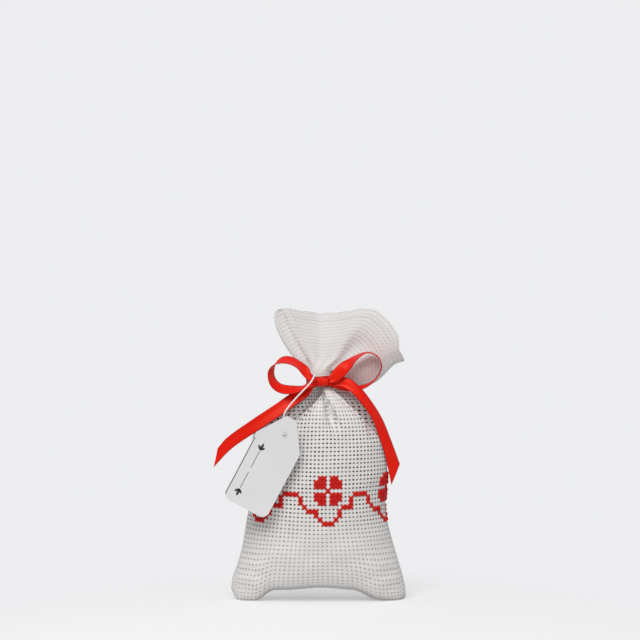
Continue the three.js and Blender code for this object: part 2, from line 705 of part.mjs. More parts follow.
// The string's end is knotted before the card, so that it can't slip back through the hole
const stopperY = -(TAG_THICKNESS / 2 + CLEARANCE + STOPPER_RADIUS);
const stopper = new THREE.SphereGeometry(STOPPER_RADIUS, 12, 8);
stopper.translate(0, stopperY, 0);
addMesh('tag_string_knot', stopper, stringMaterial, tag);

// A loop of string round the root of the left bow loop
const loopCentre = new THREE.Vector3(-STRING_LOOP_LEFT, -STRING_LOOP_FORWARD, 0).add(bow.position);
const stringLoop = new THREE.TorusGeometry(STRING_LOOP_RADIUS, STRING_RADIUS, STRING_SIDES, 24);
stringLoop.rotateY(Math.PI / 2);
stringLoop.translate(loopCentre.x, loopCentre.y, loopCentre.z);
addMesh('tag_string_loop', stringLoop, stringMaterial);

// The string runs from that loop to the hole from behind, and through it to its end knot
const STRING_LEAVES_AT = 48;
const STRING_END_SHORT = 0.2;
const STRING_BEND = new THREE.Vector3(-1.33, -1.5, -2.7);
const BEHIND_CARD = 1.6;
const ABOVE_HOLE = new THREE.Vector3(0, 3, 8);

function makeString() {
  const leave = rad(STRING_LEAVES_AT);
  const reach = STRING_LOOP_RADIUS + 2 * STRING_RADIUS + CLEARANCE;
  const outwards = new THREE.Vector3(0, -Math.cos(leave), Math.sin(leave));
  const start = loopCentre.clone().addScaledVector(outwards, reach);
  const backOfCard = hole.clone().add(new THREE.Vector3(0, TAG_THICKNESS / 2, 0));
  const end = hole.clone().add(new THREE.Vector3(0, stopperY + STOPPER_RADIUS + STRING_END_SHORT, 0));
  const behind = backOfCard.clone().add(new THREE.Vector3(0, BEHIND_CARD, 0));
  const above = backOfCard.clone().add(ABOVE_HOLE);
  const bend = start.clone().add(STRING_BEND);
  const route = new THREE.CatmullRomCurve3([start, bend, above, behind, end], false, 'centripetal');
  const section = new THREE.Shape();
  section.absarc(0, 0, STRING_RADIUS, 0, 2 * Math.PI);
  return new THREE.ExtrudeGeometry(section, {
    steps: STRING_STEPS, extrudePath: route, bevelEnabled: false, curveSegments: STRING_SIDES / 2,
  });
}
addMesh('tag_string', makeString(), stringMaterial);

export default sachet;
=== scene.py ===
# Lavender sachet: an evenweave bag with a cross-stitched border, tied with a satin bow,
# with a card tag on a string. Sizes are in millimetres and go to metres as meshes are made.
import math

import bpy
import numpy as np
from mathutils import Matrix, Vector


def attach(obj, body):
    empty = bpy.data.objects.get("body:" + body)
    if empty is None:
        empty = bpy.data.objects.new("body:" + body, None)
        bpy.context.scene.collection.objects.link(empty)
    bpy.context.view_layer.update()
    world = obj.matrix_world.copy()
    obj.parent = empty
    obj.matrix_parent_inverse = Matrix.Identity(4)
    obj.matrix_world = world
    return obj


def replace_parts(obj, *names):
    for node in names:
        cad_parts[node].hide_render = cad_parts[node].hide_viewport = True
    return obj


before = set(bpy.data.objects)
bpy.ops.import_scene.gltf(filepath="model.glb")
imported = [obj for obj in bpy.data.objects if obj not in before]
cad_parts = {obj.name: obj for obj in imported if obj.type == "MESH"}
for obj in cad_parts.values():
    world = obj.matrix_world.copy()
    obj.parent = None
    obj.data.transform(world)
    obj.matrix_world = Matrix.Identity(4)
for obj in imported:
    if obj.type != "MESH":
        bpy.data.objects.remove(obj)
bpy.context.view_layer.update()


# The table and the view, in metres: a pale table top under a wide soft lamp. A round pool of it shows
# in front of the bag, and further out it fades into the pale room. The camera stands level, about as
# high as the bag's mouth.
TABLE_RADIUS = 2.0
TABLE_SIDES = 96
POOL_IN_FRONT = 0.1
POOL_FADE_FROM = 0.08
POOL_FADE_TO = 0.2
TABLE_COLOUR = (0.62, 0.62, 0.62, 1)
TABLE_GLOW = 0.31
ROOM_COLOUR = (0.845, 0.85, 0.865, 1)
ROOM_LIGHT = 0.46
ROOM_LIGHT_COLOUR = (0.97, 0.985, 1.0, 1)
LAMP_SIZE = 0.8
LAMP_POWER = 10.2
LAMP_PLACE = (-0.2, -0.82, 0.95)
LAMP_AIM = (0, 0, 0.06)
CAMERA_DISTANCE = 0.74
CAMERA_HEIGHT = 0.129
CAMERA_RIGHT = 0.0007
CAMERA_LENS = 90
CAMERA_SENSOR = 36

scene = bpy.context.scene
scene.view_settings.view_transform = "Standard"
camera = bpy.data.cameras.new("camera")
camera.lens = CAMERA_LENS
camera.sensor_width = CAMERA_SENSOR
camera.clip_start = 0.01
view = bpy.data.objects.new("camera", camera)
view.location = (CAMERA_RIGHT, -CAMERA_DISTANCE, CAMERA_HEIGHT)
view.rotation_euler = (math.radians(90), 0, 0)
scene.collection.objects.link(view)
scene.camera = view


def new_material(name):
    material = bpy.data.materials.new(name)
    material.use_nodes = True
    tree = material.node_tree
    return material, tree, tree.nodes["Principled BSDF"]


# A number or a colour is set on a socket; the outcome of another node is joined to it
def feed(tree, socket, value):
    if isinstance(value, (int, float, tuple)):
        socket.default_value = value
    else:
        tree.links.new(value, socket)


def number(tree, operation, *values):
    node = tree.nodes.new("ShaderNodeMath")
    node.operation = operation
    for socket, value in zip(node.inputs, values):
        feed(tree, socket, value)
    return node.outputs["Value"]


def ramp(tree, value, low, high, start=0, end=1):
    node = tree.nodes.new("ShaderNodeMapRange")
    node.interpolation_type = "SMOOTHSTEP"
    settings = {"Value": value, "From Min": low, "From Max": high, "To Min": start, "To Max": end}
    for socket, setting in settings.items():
        feed(tree, node.inputs[socket], setting)
    return node.outputs["Result"]


def place_on_piece(tree):
    return tree.nodes.new("ShaderNodeTexCoord").outputs["Object"]


def mix_shaders(tree, share, first, second, output):
    both = tree.nodes.new("ShaderNodeMixShader")
    for socket, value in zip(both.inputs, (share, first, second)):
        feed(tree, socket, value)
    feed(tree, tree.nodes[output].inputs["Surface"], both.outputs["Shader"])


def make_table_top():
    points = [(0, 0, 0)]
    for side in range(TABLE_SIDES):
        turn = 2 * math.pi * side / TABLE_SIDES
        points.append((TABLE_RADIUS * math.cos(turn), TABLE_RADIUS * math.sin(turn), 0))
    faces = [(0, 1 + side, 1 + (side + 1) % TABLE_SIDES) for side in range(TABLE_SIDES)]
    mesh = bpy.data.meshes.new("table_top")
    mesh.from_pydata(points, [], faces)
    table = bpy.data.objects.new("table_top", mesh)
    scene.collection.objects.link(table)
    material, tree, shader = new_material("pale_table")
    shader.inputs["Base Color"].default_value = TABLE_COLOUR
    shader.inputs["Roughness"].default_value = 0.9
    shader.inputs["Specular IOR Level"].default_value = 0.1
    shader.inputs["Emission Color"].default_value = (1, 1, 1, 1)
    shader.inputs["Emission Strength"].default_value = TABLE_GLOW
    reach = tree.nodes.new("ShaderNodeVectorMath")
    reach.operation = "DISTANCE"
    feed(tree, reach.inputs[0], place_on_piece(tree))
    feed(tree, reach.inputs[1], (0, -POOL_IN_FRONT, 0))
    fade = ramp(tree, reach.outputs["Value"], POOL_FADE_FROM, POOL_FADE_TO)
    clear = tree.nodes.new("ShaderNodeBsdfTransparent")
    mix_shaders(tree, fade, shader.outputs["BSDF"], clear.outputs["BSDF"], "Material Output")
    mesh.materials.append(material)


def make_room_light():
    world = bpy.data.worlds.new("room")
    scene.world = world
    world.use_nodes = True
    tree = world.node_tree
    light = tree.nodes["Background"]
    light.inputs["Color"].default_value = ROOM_LIGHT_COLOUR
    light.inputs["Strength"].default_value = ROOM_LIGHT
    seen = tree.nodes.new("ShaderNodeBackground")
    seen.inputs["Color"].default_value = ROOM_COLOUR
    ray = tree.nodes.new("ShaderNodeLightPath").outputs
    looks = number(tree, "MAXIMUM", ray["Is Camera Ray"], ray["Is Transmission Ray"])
    mix_shaders(tree, looks, light.outputs["Background"], seen.outputs["Background"], "World Output")
    lamp = bpy.data.lights.new("soft_lamp", "AREA")
    lamp.shape = "DISK"
    lamp.size = LAMP_SIZE
    lamp.energy = LAMP_POWER
    holder = bpy.data.objects.new("soft_lamp", lamp)
    holder.location = LAMP_PLACE
    beam = Vector(LAMP_AIM) - holder.location
    holder.rotation_euler = beam.to_track_quat("-Z", "Y").to_euler()
    scene.collection.objects.link(holder)


make_table_top()
make_room_light()


# The bag: one piece of 14-count cotton evenweave, 90 cells round, sewn to a tube with a seam at the
# back and one along the bottom. Its filled lower part bellies out, the ribbon gathers it to a neck,
# and above that its hemmed mouth fans out to the right and leans back on the left.
MM = 0.001
CELL = 25.4 / 14
CELLS_ROUND = 90
STEPS_PER_CELL = 2
CLOTH_THICKNESS = 0.55
BELLY_HEIGHT = 54
TIE_HEIGHT = 99.6
BASE_HALF_WIDTH = 40.3
BELLY_HALF_WIDTH = 31.6
BELLY_HALF_DEPTH = 19.2
SEAM_HALF_DEPTH = 0.8
NECK_HALF_WIDTH = 5.6
NECK_HALF_DEPTH = 4.8
NECK_X = 1.2
BORDER_HEIGHT = 37
ROW_PITCH = 1.03 * CELL
BORDER_SHIFT_CELLS = 2.4
MOUTH_LENGTH = 41


def smooth(low, high, value):
    share = np.clip((value - low) / (high - low), 0, 1)
    return share * share * (3 - 2 * share)


def bell(value, centre, spread):
    return np.exp(-(((value - centre) / spread) ** 2))


def mix(first, second, share):
    return first + (second - first) * share


def unit(vectors):
    return vectors / np.maximum(np.linalg.norm(vectors, axis=-1, keepdims=True), 1e-9)


def length_along(line):
    steps = np.linalg.norm(np.diff(line, axis=0), axis=1)
    return np.concatenate([[0], np.cumsum(steps)])


def degrees_from_front(angle):
    return np.degrees(np.arctan2(np.sin(angle), np.cos(angle)))


def read_pairs(pairs, value):
    places, sizes = zip(*pairs)
    return np.interp(value, places, sizes)


# The bottom seam arches between two ears, whose tips turn up
ARCH_HEIGHT = 4.6
ARCH_PEAK, ARCH_PEAK_X, ARCH_PEAK_SPREAD = 1.3, 1, 11
LEFT_EAR_FROM, RIGHT_EAR_FROM, EAR_FULL_AT = 20, 15, 30.5
EAR_HEIGHT = -1
TIP_LENGTH = 4.5
LEFT_TIP_RISE, RIGHT_TIP_RISE = 5, 1.8


def bottom_line(x):
    ear = smooth(np.where(x < 0, LEFT_EAR_FROM, RIGHT_EAR_FROM), EAR_FULL_AT, np.abs(x))
    tip = smooth(BASE_HALF_WIDTH - TIP_LENGTH, BASE_HALF_WIDTH, np.abs(x))
    arch = ARCH_HEIGHT + ARCH_PEAK * bell(x, ARCH_PEAK_X, ARCH_PEAK_SPREAD)
    return mix(arch, EAR_HEIGHT, ear) + np.where(x < 0, LEFT_TIP_RISE, RIGHT_TIP_RISE) * tip**2


# Each ear stands on a flat pad that narrows outwards; the cloth rises evenly away from it
PAD_INNER, PAD_OUTER = 31.9, 37.3
PAD_INNER_HALF_DEPTH, PAD_OUTER_HALF_DEPTH = 4.5, 0.35
FOOT_SLOPE = 0.12


def floor_under(x, y):
    across = np.abs(x)
    narrowing = (PAD_INNER_HALF_DEPTH - PAD_OUTER_HALF_DEPTH) / (PAD_OUTER - PAD_INNER)
    beside = np.abs(y) - PAD_INNER_HALF_DEPTH + narrowing * (across - PAD_INNER)
    beyond_ends = np.maximum(PAD_INNER - across, across - PAD_OUTER)
    away = np.maximum(beyond_ends, beside / math.hypot(1, narrowing))
    return FOOT_SLOPE * np.maximum(away, 0)


# Level 0 is the bottom seam, 1 the belly and 2 the tie; angle 0 is the front, and it turns right.
# The lower cloth draws in to a slight waist, is fuller on its left, and the seam pulls its corners in
ROUNDNESS = 2 / 3
DRAWN_IN_BY = 0.8
WAIST, WAIST_AT, WAIST_SPREAD = 0.8, 0.8, 0.15
LEFT_FULLNESS, LEFT_FULL_AT, LEFT_FULL_SPREAD = 1.6, 0.72, 0.2
LEFT_FULL_ROUND = (0, 0.8)
CORNER_PULL, CORNER_SPREAD = 0.8, 0.06


def lower_cloth(angle, level):
    turn = level * math.pi / 2
    depth_share = np.sin(turn) ** ROUNDNESS
    drop = np.maximum(np.cos(turn), 0) ** ROUNDNESS
    rise = 1 - drop
    half_depth = mix(SEAM_HALF_DEPTH, BELLY_HALF_DEPTH, depth_share)
    half_width = mix(BASE_HALF_WIDTH, BELLY_HALF_WIDTH, smooth(0, DRAWN_IN_BY, rise))
    half_width = half_width - WAIST * bell(rise, WAIST_AT, WAIST_SPREAD)
    left_side = smooth(*LEFT_FULL_ROUND, -np.sin(angle))
    half_width = half_width + LEFT_FULLNESS * bell(rise, LEFT_FULL_AT, LEFT_FULL_SPREAD) * left_side
    half_width = half_width - CORNER_PULL * bell(level, 0, CORNER_SPREAD)
    x = half_width * np.sin(angle)
    y = -half_depth * np.cos(angle)
    z = np.maximum(BELLY_HEIGHT - (BELLY_HEIGHT - bottom_line(x)) * drop, floor_under(x, y))
    return x, y, z


# Folds that run up into the tie: where each runs, as pairs of share of the shoulder and degrees,
# how deep it is, how wide it is to its left and right, and the share that it starts from
FOLDS = [
    {"line": [(0.55, -33), (0.636, -27), (0.94, 4), (1, 6)],
     "depth": 0.78, "left": 17, "right": 3.4, "from": 0.42},
    {"line": [(0.58, 15.4), (0.82, 11.4), (0.86, 8.8), (1, 7)],
     "depth": 0.63, "left": 6.5, "right": 2, "from": 0.46},
    {"line": [(0.6, 51), (0.785, 36), (0.943, 30), (1, 30)],
     "depth": 0.48, "left": 3, "right": 17, "from": 0.42},
    {"line": [(0.5, 112), (1, 104)], "depth": 0.2, "left": 7, "right": 7, "from": 0.5},
    {"line": [(0.5, 133), (1, 138)], "depth": 0.3, "left": 7, "right": 12, "from": 0.5},
    {"line": [(0.5, 168), (1, 172)], "depth": 0.38, "left": 13, "right": 5, "from": 0.38},
    {"line": [(0.5, -158), (1, -150)], "depth": 0.3, "left": 5, "right": 13, "from": 0.52},
    {"line": [(0.5, -124), (1, -116)], "depth": 0.32, "left": 12, "right": 6, "from": 0.4},
    {"line": [(0.5, -66), (1, -56)], "depth": 0.2, "left": 7, "right": 10, "from": 0.5},
]
FOLD_GROWTH = 0.36
FOLD_EASE, FOLD_EASE_FROM = 0.35, 0.9


def fold_depth(angle, share):
    degrees = degrees_from_front(angle)
    deepest = np.zeros_like(degrees)
    for fold in FOLDS:
        away = (degrees - read_pairs(fold["line"], share) + 180) % 360 - 180
        width = np.where(away < 0, fold["left"], fold["right"])
        grown = smooth(fold["from"], fold["from"] + FOLD_GROWTH, share)
        deepest = np.maximum(deepest, fold["depth"] * grown * bell(away, 0, width))
    return deepest * (1 - FOLD_EASE * smooth(FOLD_EASE_FROM, 1, share))


# The upper cloth closes to the neck in rounded shoulders; the left one falls away under the ribbon's
# tail, and a panel between the front folds stands out under the knot
SHOULDER_TOP = 0.985
SHOULDER_WIDTH_POWER = 5
SHOULDER_DEPTH_POWER = 1.6
LEFT_FALL, LEFT_FALL_AT, LEFT_FALL_SPREAD = 5, 0.81, 0.13
LEFT_FALL_ROUND = (0.2, 1)
PANEL_LIFT, PANEL_DEGREES, PANEL_SPREAD = 2.6, 15, 15
PANEL_RISES, PANEL_ENDS = (0.6, 0.88), (0.94, 0.99)


def upper_cloth(angle, level):
    share = level - 1
    reach = np.minimum(share / SHOULDER_TOP, 1)
    half_width = mix(NECK_HALF_WIDTH, BELLY_HALF_WIDTH, 1 - reach**SHOULDER_WIDTH_POWER)
    half_depth = mix(NECK_HALF_DEPTH, BELLY_HALF_DEPTH, 1 - reach**SHOULDER_DEPTH_POWER)
    left_side = smooth(*LEFT_FALL_ROUND, -np.sin(angle))
    half_width = half_width - LEFT_FALL * bell(share, LEFT_FALL_AT, LEFT_FALL_SPREAD) * left_side
    gather = 1 - fold_depth(angle, share)
    x = NECK_X * share + half_width * gather * np.sin(angle)
    lifted = smooth(*PANEL_RISES, share) * (1 - smooth(*PANEL_ENDS, share))
    panel = lifted * bell(degrees_from_front(angle), PANEL_DEGREES, PANEL_SPREAD)
    y = -half_depth * gather * np.cos(angle) - PANEL_LIFT * panel
    return x, y, mix(BELLY_HEIGHT, TIE_HEIGHT, share) + 0 * angle


def pouch_cloth(angle, level):
    low = lower_cloth(angle, np.minimum(level, 1))
    high = upper_cloth(angle, np.maximum(level, 1))
    return np.stack([np.where(level < 1, a, b) for a, b in zip(low, high)], axis=-1)


# The mouth's rim as a fan: degrees above the table line, and how far the rim lies from the tie.
# Reach goes from the tie, 0, to the rim, 1, and the place across from the left, -1, to the right, 1.
# Pairs are where a change starts and is complete, or the middle and the spread of a swelling
RIM = [
    (14, 40), (19, 39.6), (24, 39), (32, 41.8), (44, 42.6), (54, 42.4),
    (61, 39.8), (67, 36.6), (76, 33.6), (91, 32.1), (106, 34.8),
    (113, 37.6), (117.5, 39.4), (120.5, 39.7), (122, 39), (123, 37.6),
]
FAN_MIDDLE, FAN_HALF_SPREAD = 69, 54
FLATTENS, OPENS, SPREADS = (0.08, 0.4), (0.12, 0.4), (0.07, 0.36)
RIGHT_DROOP, DROOP_ACROSS = 17.5, (0.3, 1)
DROOP_STARTS, DROOP_ENDS = (0, 0.3), (0.5, 0.92)
LEAN_BACK, LEAN_POWER, LEAN_ACROSS = 13, 1.6, (-0.35, 0.45)
RIGHT_CURL, CURL_POWER, CURL_ACROSS = 6, 2, (0.72, 0.35)
HOLLOW_DEPTH, HOLLOW_UP, HOLLOW_ACROSS = 3.4, (0.52, 0.2), (0.4, 0.2)
LEFT_CREASE = -0.9
LEFT_BULGE = [(0.3, 15), (0.53, 12.4), (0.7, 9.4), (0.88, 5.7), (1, 2)]
BULGE_FROM, BULGE_WIDTH = LEFT_CREASE + 0.02, 0.12
STEP_BACK, STEP_ACROSS = 3, (LEFT_CREASE - 0.022, LEFT_CREASE + 0.006)
ROLL_HEIGHT, ROLL_ACROSS = 0.9, (LEFT_CREASE + 0.045, 0.05)
GATHERS, GATHER_TURN, GATHER_DEPTH = 9, 0.6, 0.5
GATHERS_START, GATHERS_END = (0.1, 0.22), (0.22, 0.75)
HEM_WIDTH = 5
HEM_EDGE = 0.9
HEM_THICKNESS = 0.45
MOUTH_HALF_GAP = 4.6


def mouth_cloth(angle, reach):
    flat = np.arcsin(np.sin(angle)) * 2 / math.pi
    across = np.clip(mix(np.sin(angle), flat, smooth(*FLATTENS, reach)), -1, 1)
    front = np.where(np.cos(angle) >= 0, 1, -1)
    facing = front * np.sqrt(1 - across**2)
    tube_x = NECK_X + NECK_HALF_WIDTH * across
    tube_y = -NECK_HALF_DEPTH * facing
    tube_z = TIE_HEIGHT + MOUTH_LENGTH * reach
    drooping = smooth(*DROOP_STARTS, reach) * (1 - smooth(*DROOP_ENDS, reach))
    droop = RIGHT_DROOP * drooping * smooth(*DROOP_ACROSS, across)
    bulge = read_pairs(LEFT_BULGE, reach) * np.clip((BULGE_FROM - across) / BULGE_WIDTH, 0, 1)
    fan = FAN_MIDDLE - FAN_HALF_SPREAD * across
    radius = read_pairs(RIM, fan) * reach
    turn = np.radians(fan - droop + bulge)
    lean = LEAN_BACK * reach**LEAN_POWER * bell(across, *LEAN_ACROSS)
    lean -= RIGHT_CURL * reach**CURL_POWER * bell(across, *CURL_ACROSS)
    lean += HOLLOW_DEPTH * bell(reach, *HOLLOW_UP) * bell(across, *HOLLOW_ACROSS)
    opened = smooth(*OPENS, reach)
    step = STEP_BACK * opened * (1 - smooth(*STEP_ACROSS, across))
    roll = ROLL_HEIGHT * opened * bell(across, *ROLL_ACROSS)
    lean += np.where(front > 0, step - roll, -step)
    gathered = smooth(*GATHERS_START, reach) * (1 - smooth(*GATHERS_END, reach))
    lean += GATHER_DEPTH * np.cos(GATHERS * angle + GATHER_TURN) * gathered * np.abs(facing)
    hem_from = 1 - HEM_WIDTH / MOUTH_LENGTH
    hem = HEM_THICKNESS * smooth(hem_from, hem_from + HEM_EDGE / MOUTH_LENGTH, reach)
    spread_x = NECK_X + radius * np.cos(turn)
    spread_y = lean - (MOUTH_HALF_GAP + hem) * facing
    spread_z = TIE_HEIGHT + radius * np.sin(turn)
    share = smooth(*SPREADS, reach)
    parts = [(tube_x, spread_x), (tube_y, spread_y), (tube_z, spread_z)]
    return np.stack([mix(tube, spread, share) for tube, spread in parts], axis=-1)


ANGLE_STEPS = 1440
LEVEL_HALVINGS = 24


def angle_of_cell(cell):
    turns = np.linspace(0, 2 * math.pi, ANGLE_STEPS + 1)
    middle = (turns[1:] + turns[:-1]) / 2
    pace = np.hypot(BELLY_HALF_WIDTH * np.cos(middle), BELLY_HALF_DEPTH * np.sin(middle))
    length = np.concatenate([[0], np.cumsum(pace)])
    share = np.mod(cell / CELLS_ROUND, 1)
    return np.interp(share * length[-1], length, turns)


def level_at(angle, height):
    below = np.zeros(np.broadcast(angle, height).shape)
    above = 2 * np.ones_like(below)
    for halving in range(LEVEL_HALVINGS):
        middle = (below + above) / 2
        low = lower_cloth(angle, np.minimum(middle, 1))[2]
        under = np.where(middle < 1, low, mix(BELLY_HEIGHT, TIE_HEIGHT, middle - 1)) < height
        below = np.where(under, middle, below)
        above = np.where(under, above, middle)
    return below


# Rows of the weave follow the cloth up the front; round the border each keeps its height, but for a
# small rise at the sides
EVEN_ROWS_FROM = 25
CLEAR_OF_FOLDS = math.radians(20)
LEFT_RISE, RIGHT_RISE = 1.5, 0.5
RISE_FULL_AT, RISE_FADES_FROM, RISE_FADES_TO = 34, 56, 80
LEVEL_STEPS = 4000
front_levels = np.linspace(0, 2, LEVEL_STEPS + 1)
below_belly = slice(LEVEL_STEPS // 2 + 1)
front_line = pouch_cloth(np.zeros_like(front_levels), front_levels)
clear_line = pouch_cloth(np.full_like(front_levels, CLEAR_OF_FOLDS), front_levels)
front_line_steps = np.linalg.norm(np.diff(front_line, axis=0), axis=1)
clear_line_steps = np.linalg.norm(np.diff(clear_line, axis=0), axis=1)
front_steps = np.where(front_levels[1:] > 1, clear_line_steps, front_line_steps)
front_length = np.concatenate([[0], np.cumsum(front_steps)])
front_heights = front_line[below_belly, 2]
border_length = np.interp(BORDER_HEIGHT + 0.5 * ROW_PITCH, front_heights, front_length[below_belly])
pouch_length = front_length[-1]
row_step = ROW_PITCH / STEPS_PER_CELL
rows_below = int(border_length / row_step)
rows_above = int((pouch_length + MOUTH_LENGTH - border_length) / row_step)
row_number = np.arange(-rows_below, rows_above + 1)
row_length = np.concatenate([[0], border_length + row_number * row_step, [pouch_length + MOUTH_LENGTH]])
row_cell = (row_length - border_length) / ROW_PITCH
column_count = CELLS_ROUND * STEPS_PER_CELL
column_cell = np.arange(column_count + 1) / STEPS_PER_CELL - CELLS_ROUND / 2
column_angle = angle_of_cell(column_cell + BORDER_SHIFT_CELLS - 0.5)
first_border_row = 1 + rows_below


def lay_cloth():
    angle = column_angle[:-1]
    rows = []
    level_low = np.interp(EVEN_ROWS_FROM, front_heights, front_levels[below_belly])
    own_low = level_at(angle, EVEN_ROWS_FROM)
    side_rise = np.where(np.sin(angle) < 0, LEFT_RISE, RIGHT_RISE) * np.sin(angle) ** 2
    for length in row_length:
        if length >= pouch_length:
            rows.append(mouth_cloth(angle, (length - pouch_length) / MOUTH_LENGTH + 0 * angle))
            continue
        level = np.interp(length, front_length, front_levels)
        height = np.interp(length, front_length, front_line[:, 2])
        if height >= EVEN_ROWS_FROM:
            shown = smooth(EVEN_ROWS_FROM, RISE_FULL_AT, height)
            rise = side_rise * shown * (1 - smooth(RISE_FADES_FROM, RISE_FADES_TO, height))
            rows.append(pouch_cloth(angle, level_at(angle, height + rise)))
        else:
            rows.append(pouch_cloth(angle, own_low * level / level_low))
    return np.stack(rows)


def cloth_normals(cloth):
    along = np.roll(cloth, -1, axis=1) - np.roll(cloth, 1, axis=1)
    return unit(np.cross(along, np.gradient(cloth, axis=0)))


# The buds inside push the cloth out in soft lumps, and the ears crease where the seam pulls
LUMP_HEIGHT = 0.5
SMALL_LUMP_HEIGHT = 0.32
LUMPS_START, LUMPS_END = (6, 22), (72, 92)
EAR_CREASE_DEPTH = 0.5
EAR_CREASE_UP, EAR_CREASE_OUT = (12, 10), (20, 36)
OFF_THE_SEAM = (1.5, 8)


def add_lumps(cloth):
    x, y, z = cloth[..., 0], cloth[..., 1], cloth[..., 2]
    turn = np.arctan2(x, -y)
    lump = LUMP_HEIGHT * np.sin(3.1 * turn + 0.11 * z + 0.7) * np.sin(0.16 * z + 1.1 * turn)
    lump += SMALL_LUMP_HEIGHT * np.sin(5.3 * turn - 0.19 * z + 2.1) * np.sin(0.27 * z + 0.4)
    belly = smooth(*LUMPS_START, z) * (1 - smooth(*LUMPS_END, z))
    ear = bell(z, *EAR_CREASE_UP) * smooth(*EAR_CREASE_OUT, np.abs(x))
    crease = EAR_CREASE_DEPTH * ear * np.sin(0.55 * np.hypot(np.abs(x) - 40, 1.6 * z) + 4 * y / 19)
    face = smooth(*OFF_THE_SEAM, np.abs(y))
    return cloth + cloth_normals(cloth) * ((lump * belly + crease) * face)[..., None]


# The weave stands up in the middle of each cell and sinks in at the holes between cells
RELIEF_HOLE = -0.2
RELIEF_SIDE = -0.02
RELIEF_BLOCK = 0.1


def add_weave_relief(cloth):
    on_column = np.arange(cloth.shape[1]) % STEPS_PER_CELL == 0
    on_row = (np.arange(cloth.shape[0]) - first_border_row) % STEPS_PER_CELL == 0
    both = on_row[:, None] & on_column[None, :]
    one = on_row[:, None] ^ on_column[None, :]
    relief = np.where(both, RELIEF_HOLE, np.where(one, RELIEF_SIDE, RELIEF_BLOCK))
    relief[0] = 0
    relief[-1] = 0
    return cloth + cloth_normals(cloth) * relief[..., None]


def mesh_object(name, points, faces, material, smooth_faces=True):
    mesh = bpy.data.meshes.new(name)
    mesh.from_pydata((np.asarray(points).reshape(-1, 3) * MM).tolist(), [], faces)
    mesh.update()
    mesh.polygons.foreach_set("use_smooth", [smooth_faces] * len(mesh.polygons))
    mesh.materials.append(material)
    piece = bpy.data.objects.new(name, mesh)
    scene.collection.objects.link(piece)
    return piece


# Faces between closed rings of points that follow each other, from the first point's number on
def ring_faces(rings, count, first=0):
    faces = []
    for ring in range(rings - 1):
        low = first + ring * count
        high = low + count
        for column in range(count):
            after = (column + 1) % count
            faces.append((low + column, low + after, high + after, high + column))
    return faces


# The same, closed at both ends
def tube_faces(rings, count, first=0):
    last = first + (rings - 1) * count
    start = tuple(range(first, first + count))[::-1]
    end = tuple(range(last, last + count))
    return ring_faces(rings, count, first) + [start, end]


def set_map(piece, name, values):
    layer = piece.data.uv_layers.new(name=name)
    layer.data.foreach_set("uv", np.asarray(values, np.float32).ravel())


# How a piece's own map lies on it: the map, the way across and the way along
def read_map(tree, name):
    lie = tree.nodes.new("ShaderNodeUVMap")
    lie.uv_map = name
    split = tree.nodes.new("ShaderNodeSeparateXYZ")
    feed(tree, split.inputs["Vector"], lie.outputs["UV"])
    return lie.outputs["UV"], split.outputs["X"], split.outputs["Y"]


def times(tree, first, second):
    return number(tree, "MULTIPLY", first, second)


def blend(tree, share, first, second):
    node = tree.nodes.new("ShaderNodeMix")
    node.data_type = "RGBA"
    for socket, value in (("Factor", share), ("A", first), ("B", second)):
        feed(tree, node.inputs[socket], value)
    return node.outputs["Result"]


def noise(tree, place, scale, detail=2):
    node = tree.nodes.new("ShaderNodeTexNoise")
    for socket, value in (("Vector", place), ("Scale", scale), ("Detail", detail)):
        feed(tree, node.inputs[socket], value)
    return node.outputs["Fac"]


def add_bump(tree, shader, height, strength, distance):
    node = tree.nodes.new("ShaderNodeBump")
    for socket, value in (("Height", height), ("Strength", strength), ("Distance", distance)):
        feed(tree, node.inputs[socket], value)
    feed(tree, shader.inputs["Normal"], node.outputs["Normal"])
    return node


# The cloth's look: a dark hole at each corner of a cell, and fine threads between the holes. The
# holes close along the foot and under the knot, and in the mouth they take the cloth's colour. Painted
# shade darkens the foot and lays a dark line over the seam; painted light lightens the panel under
# the knot and the mouth next to the tie
PANEL_CELL = 2.7


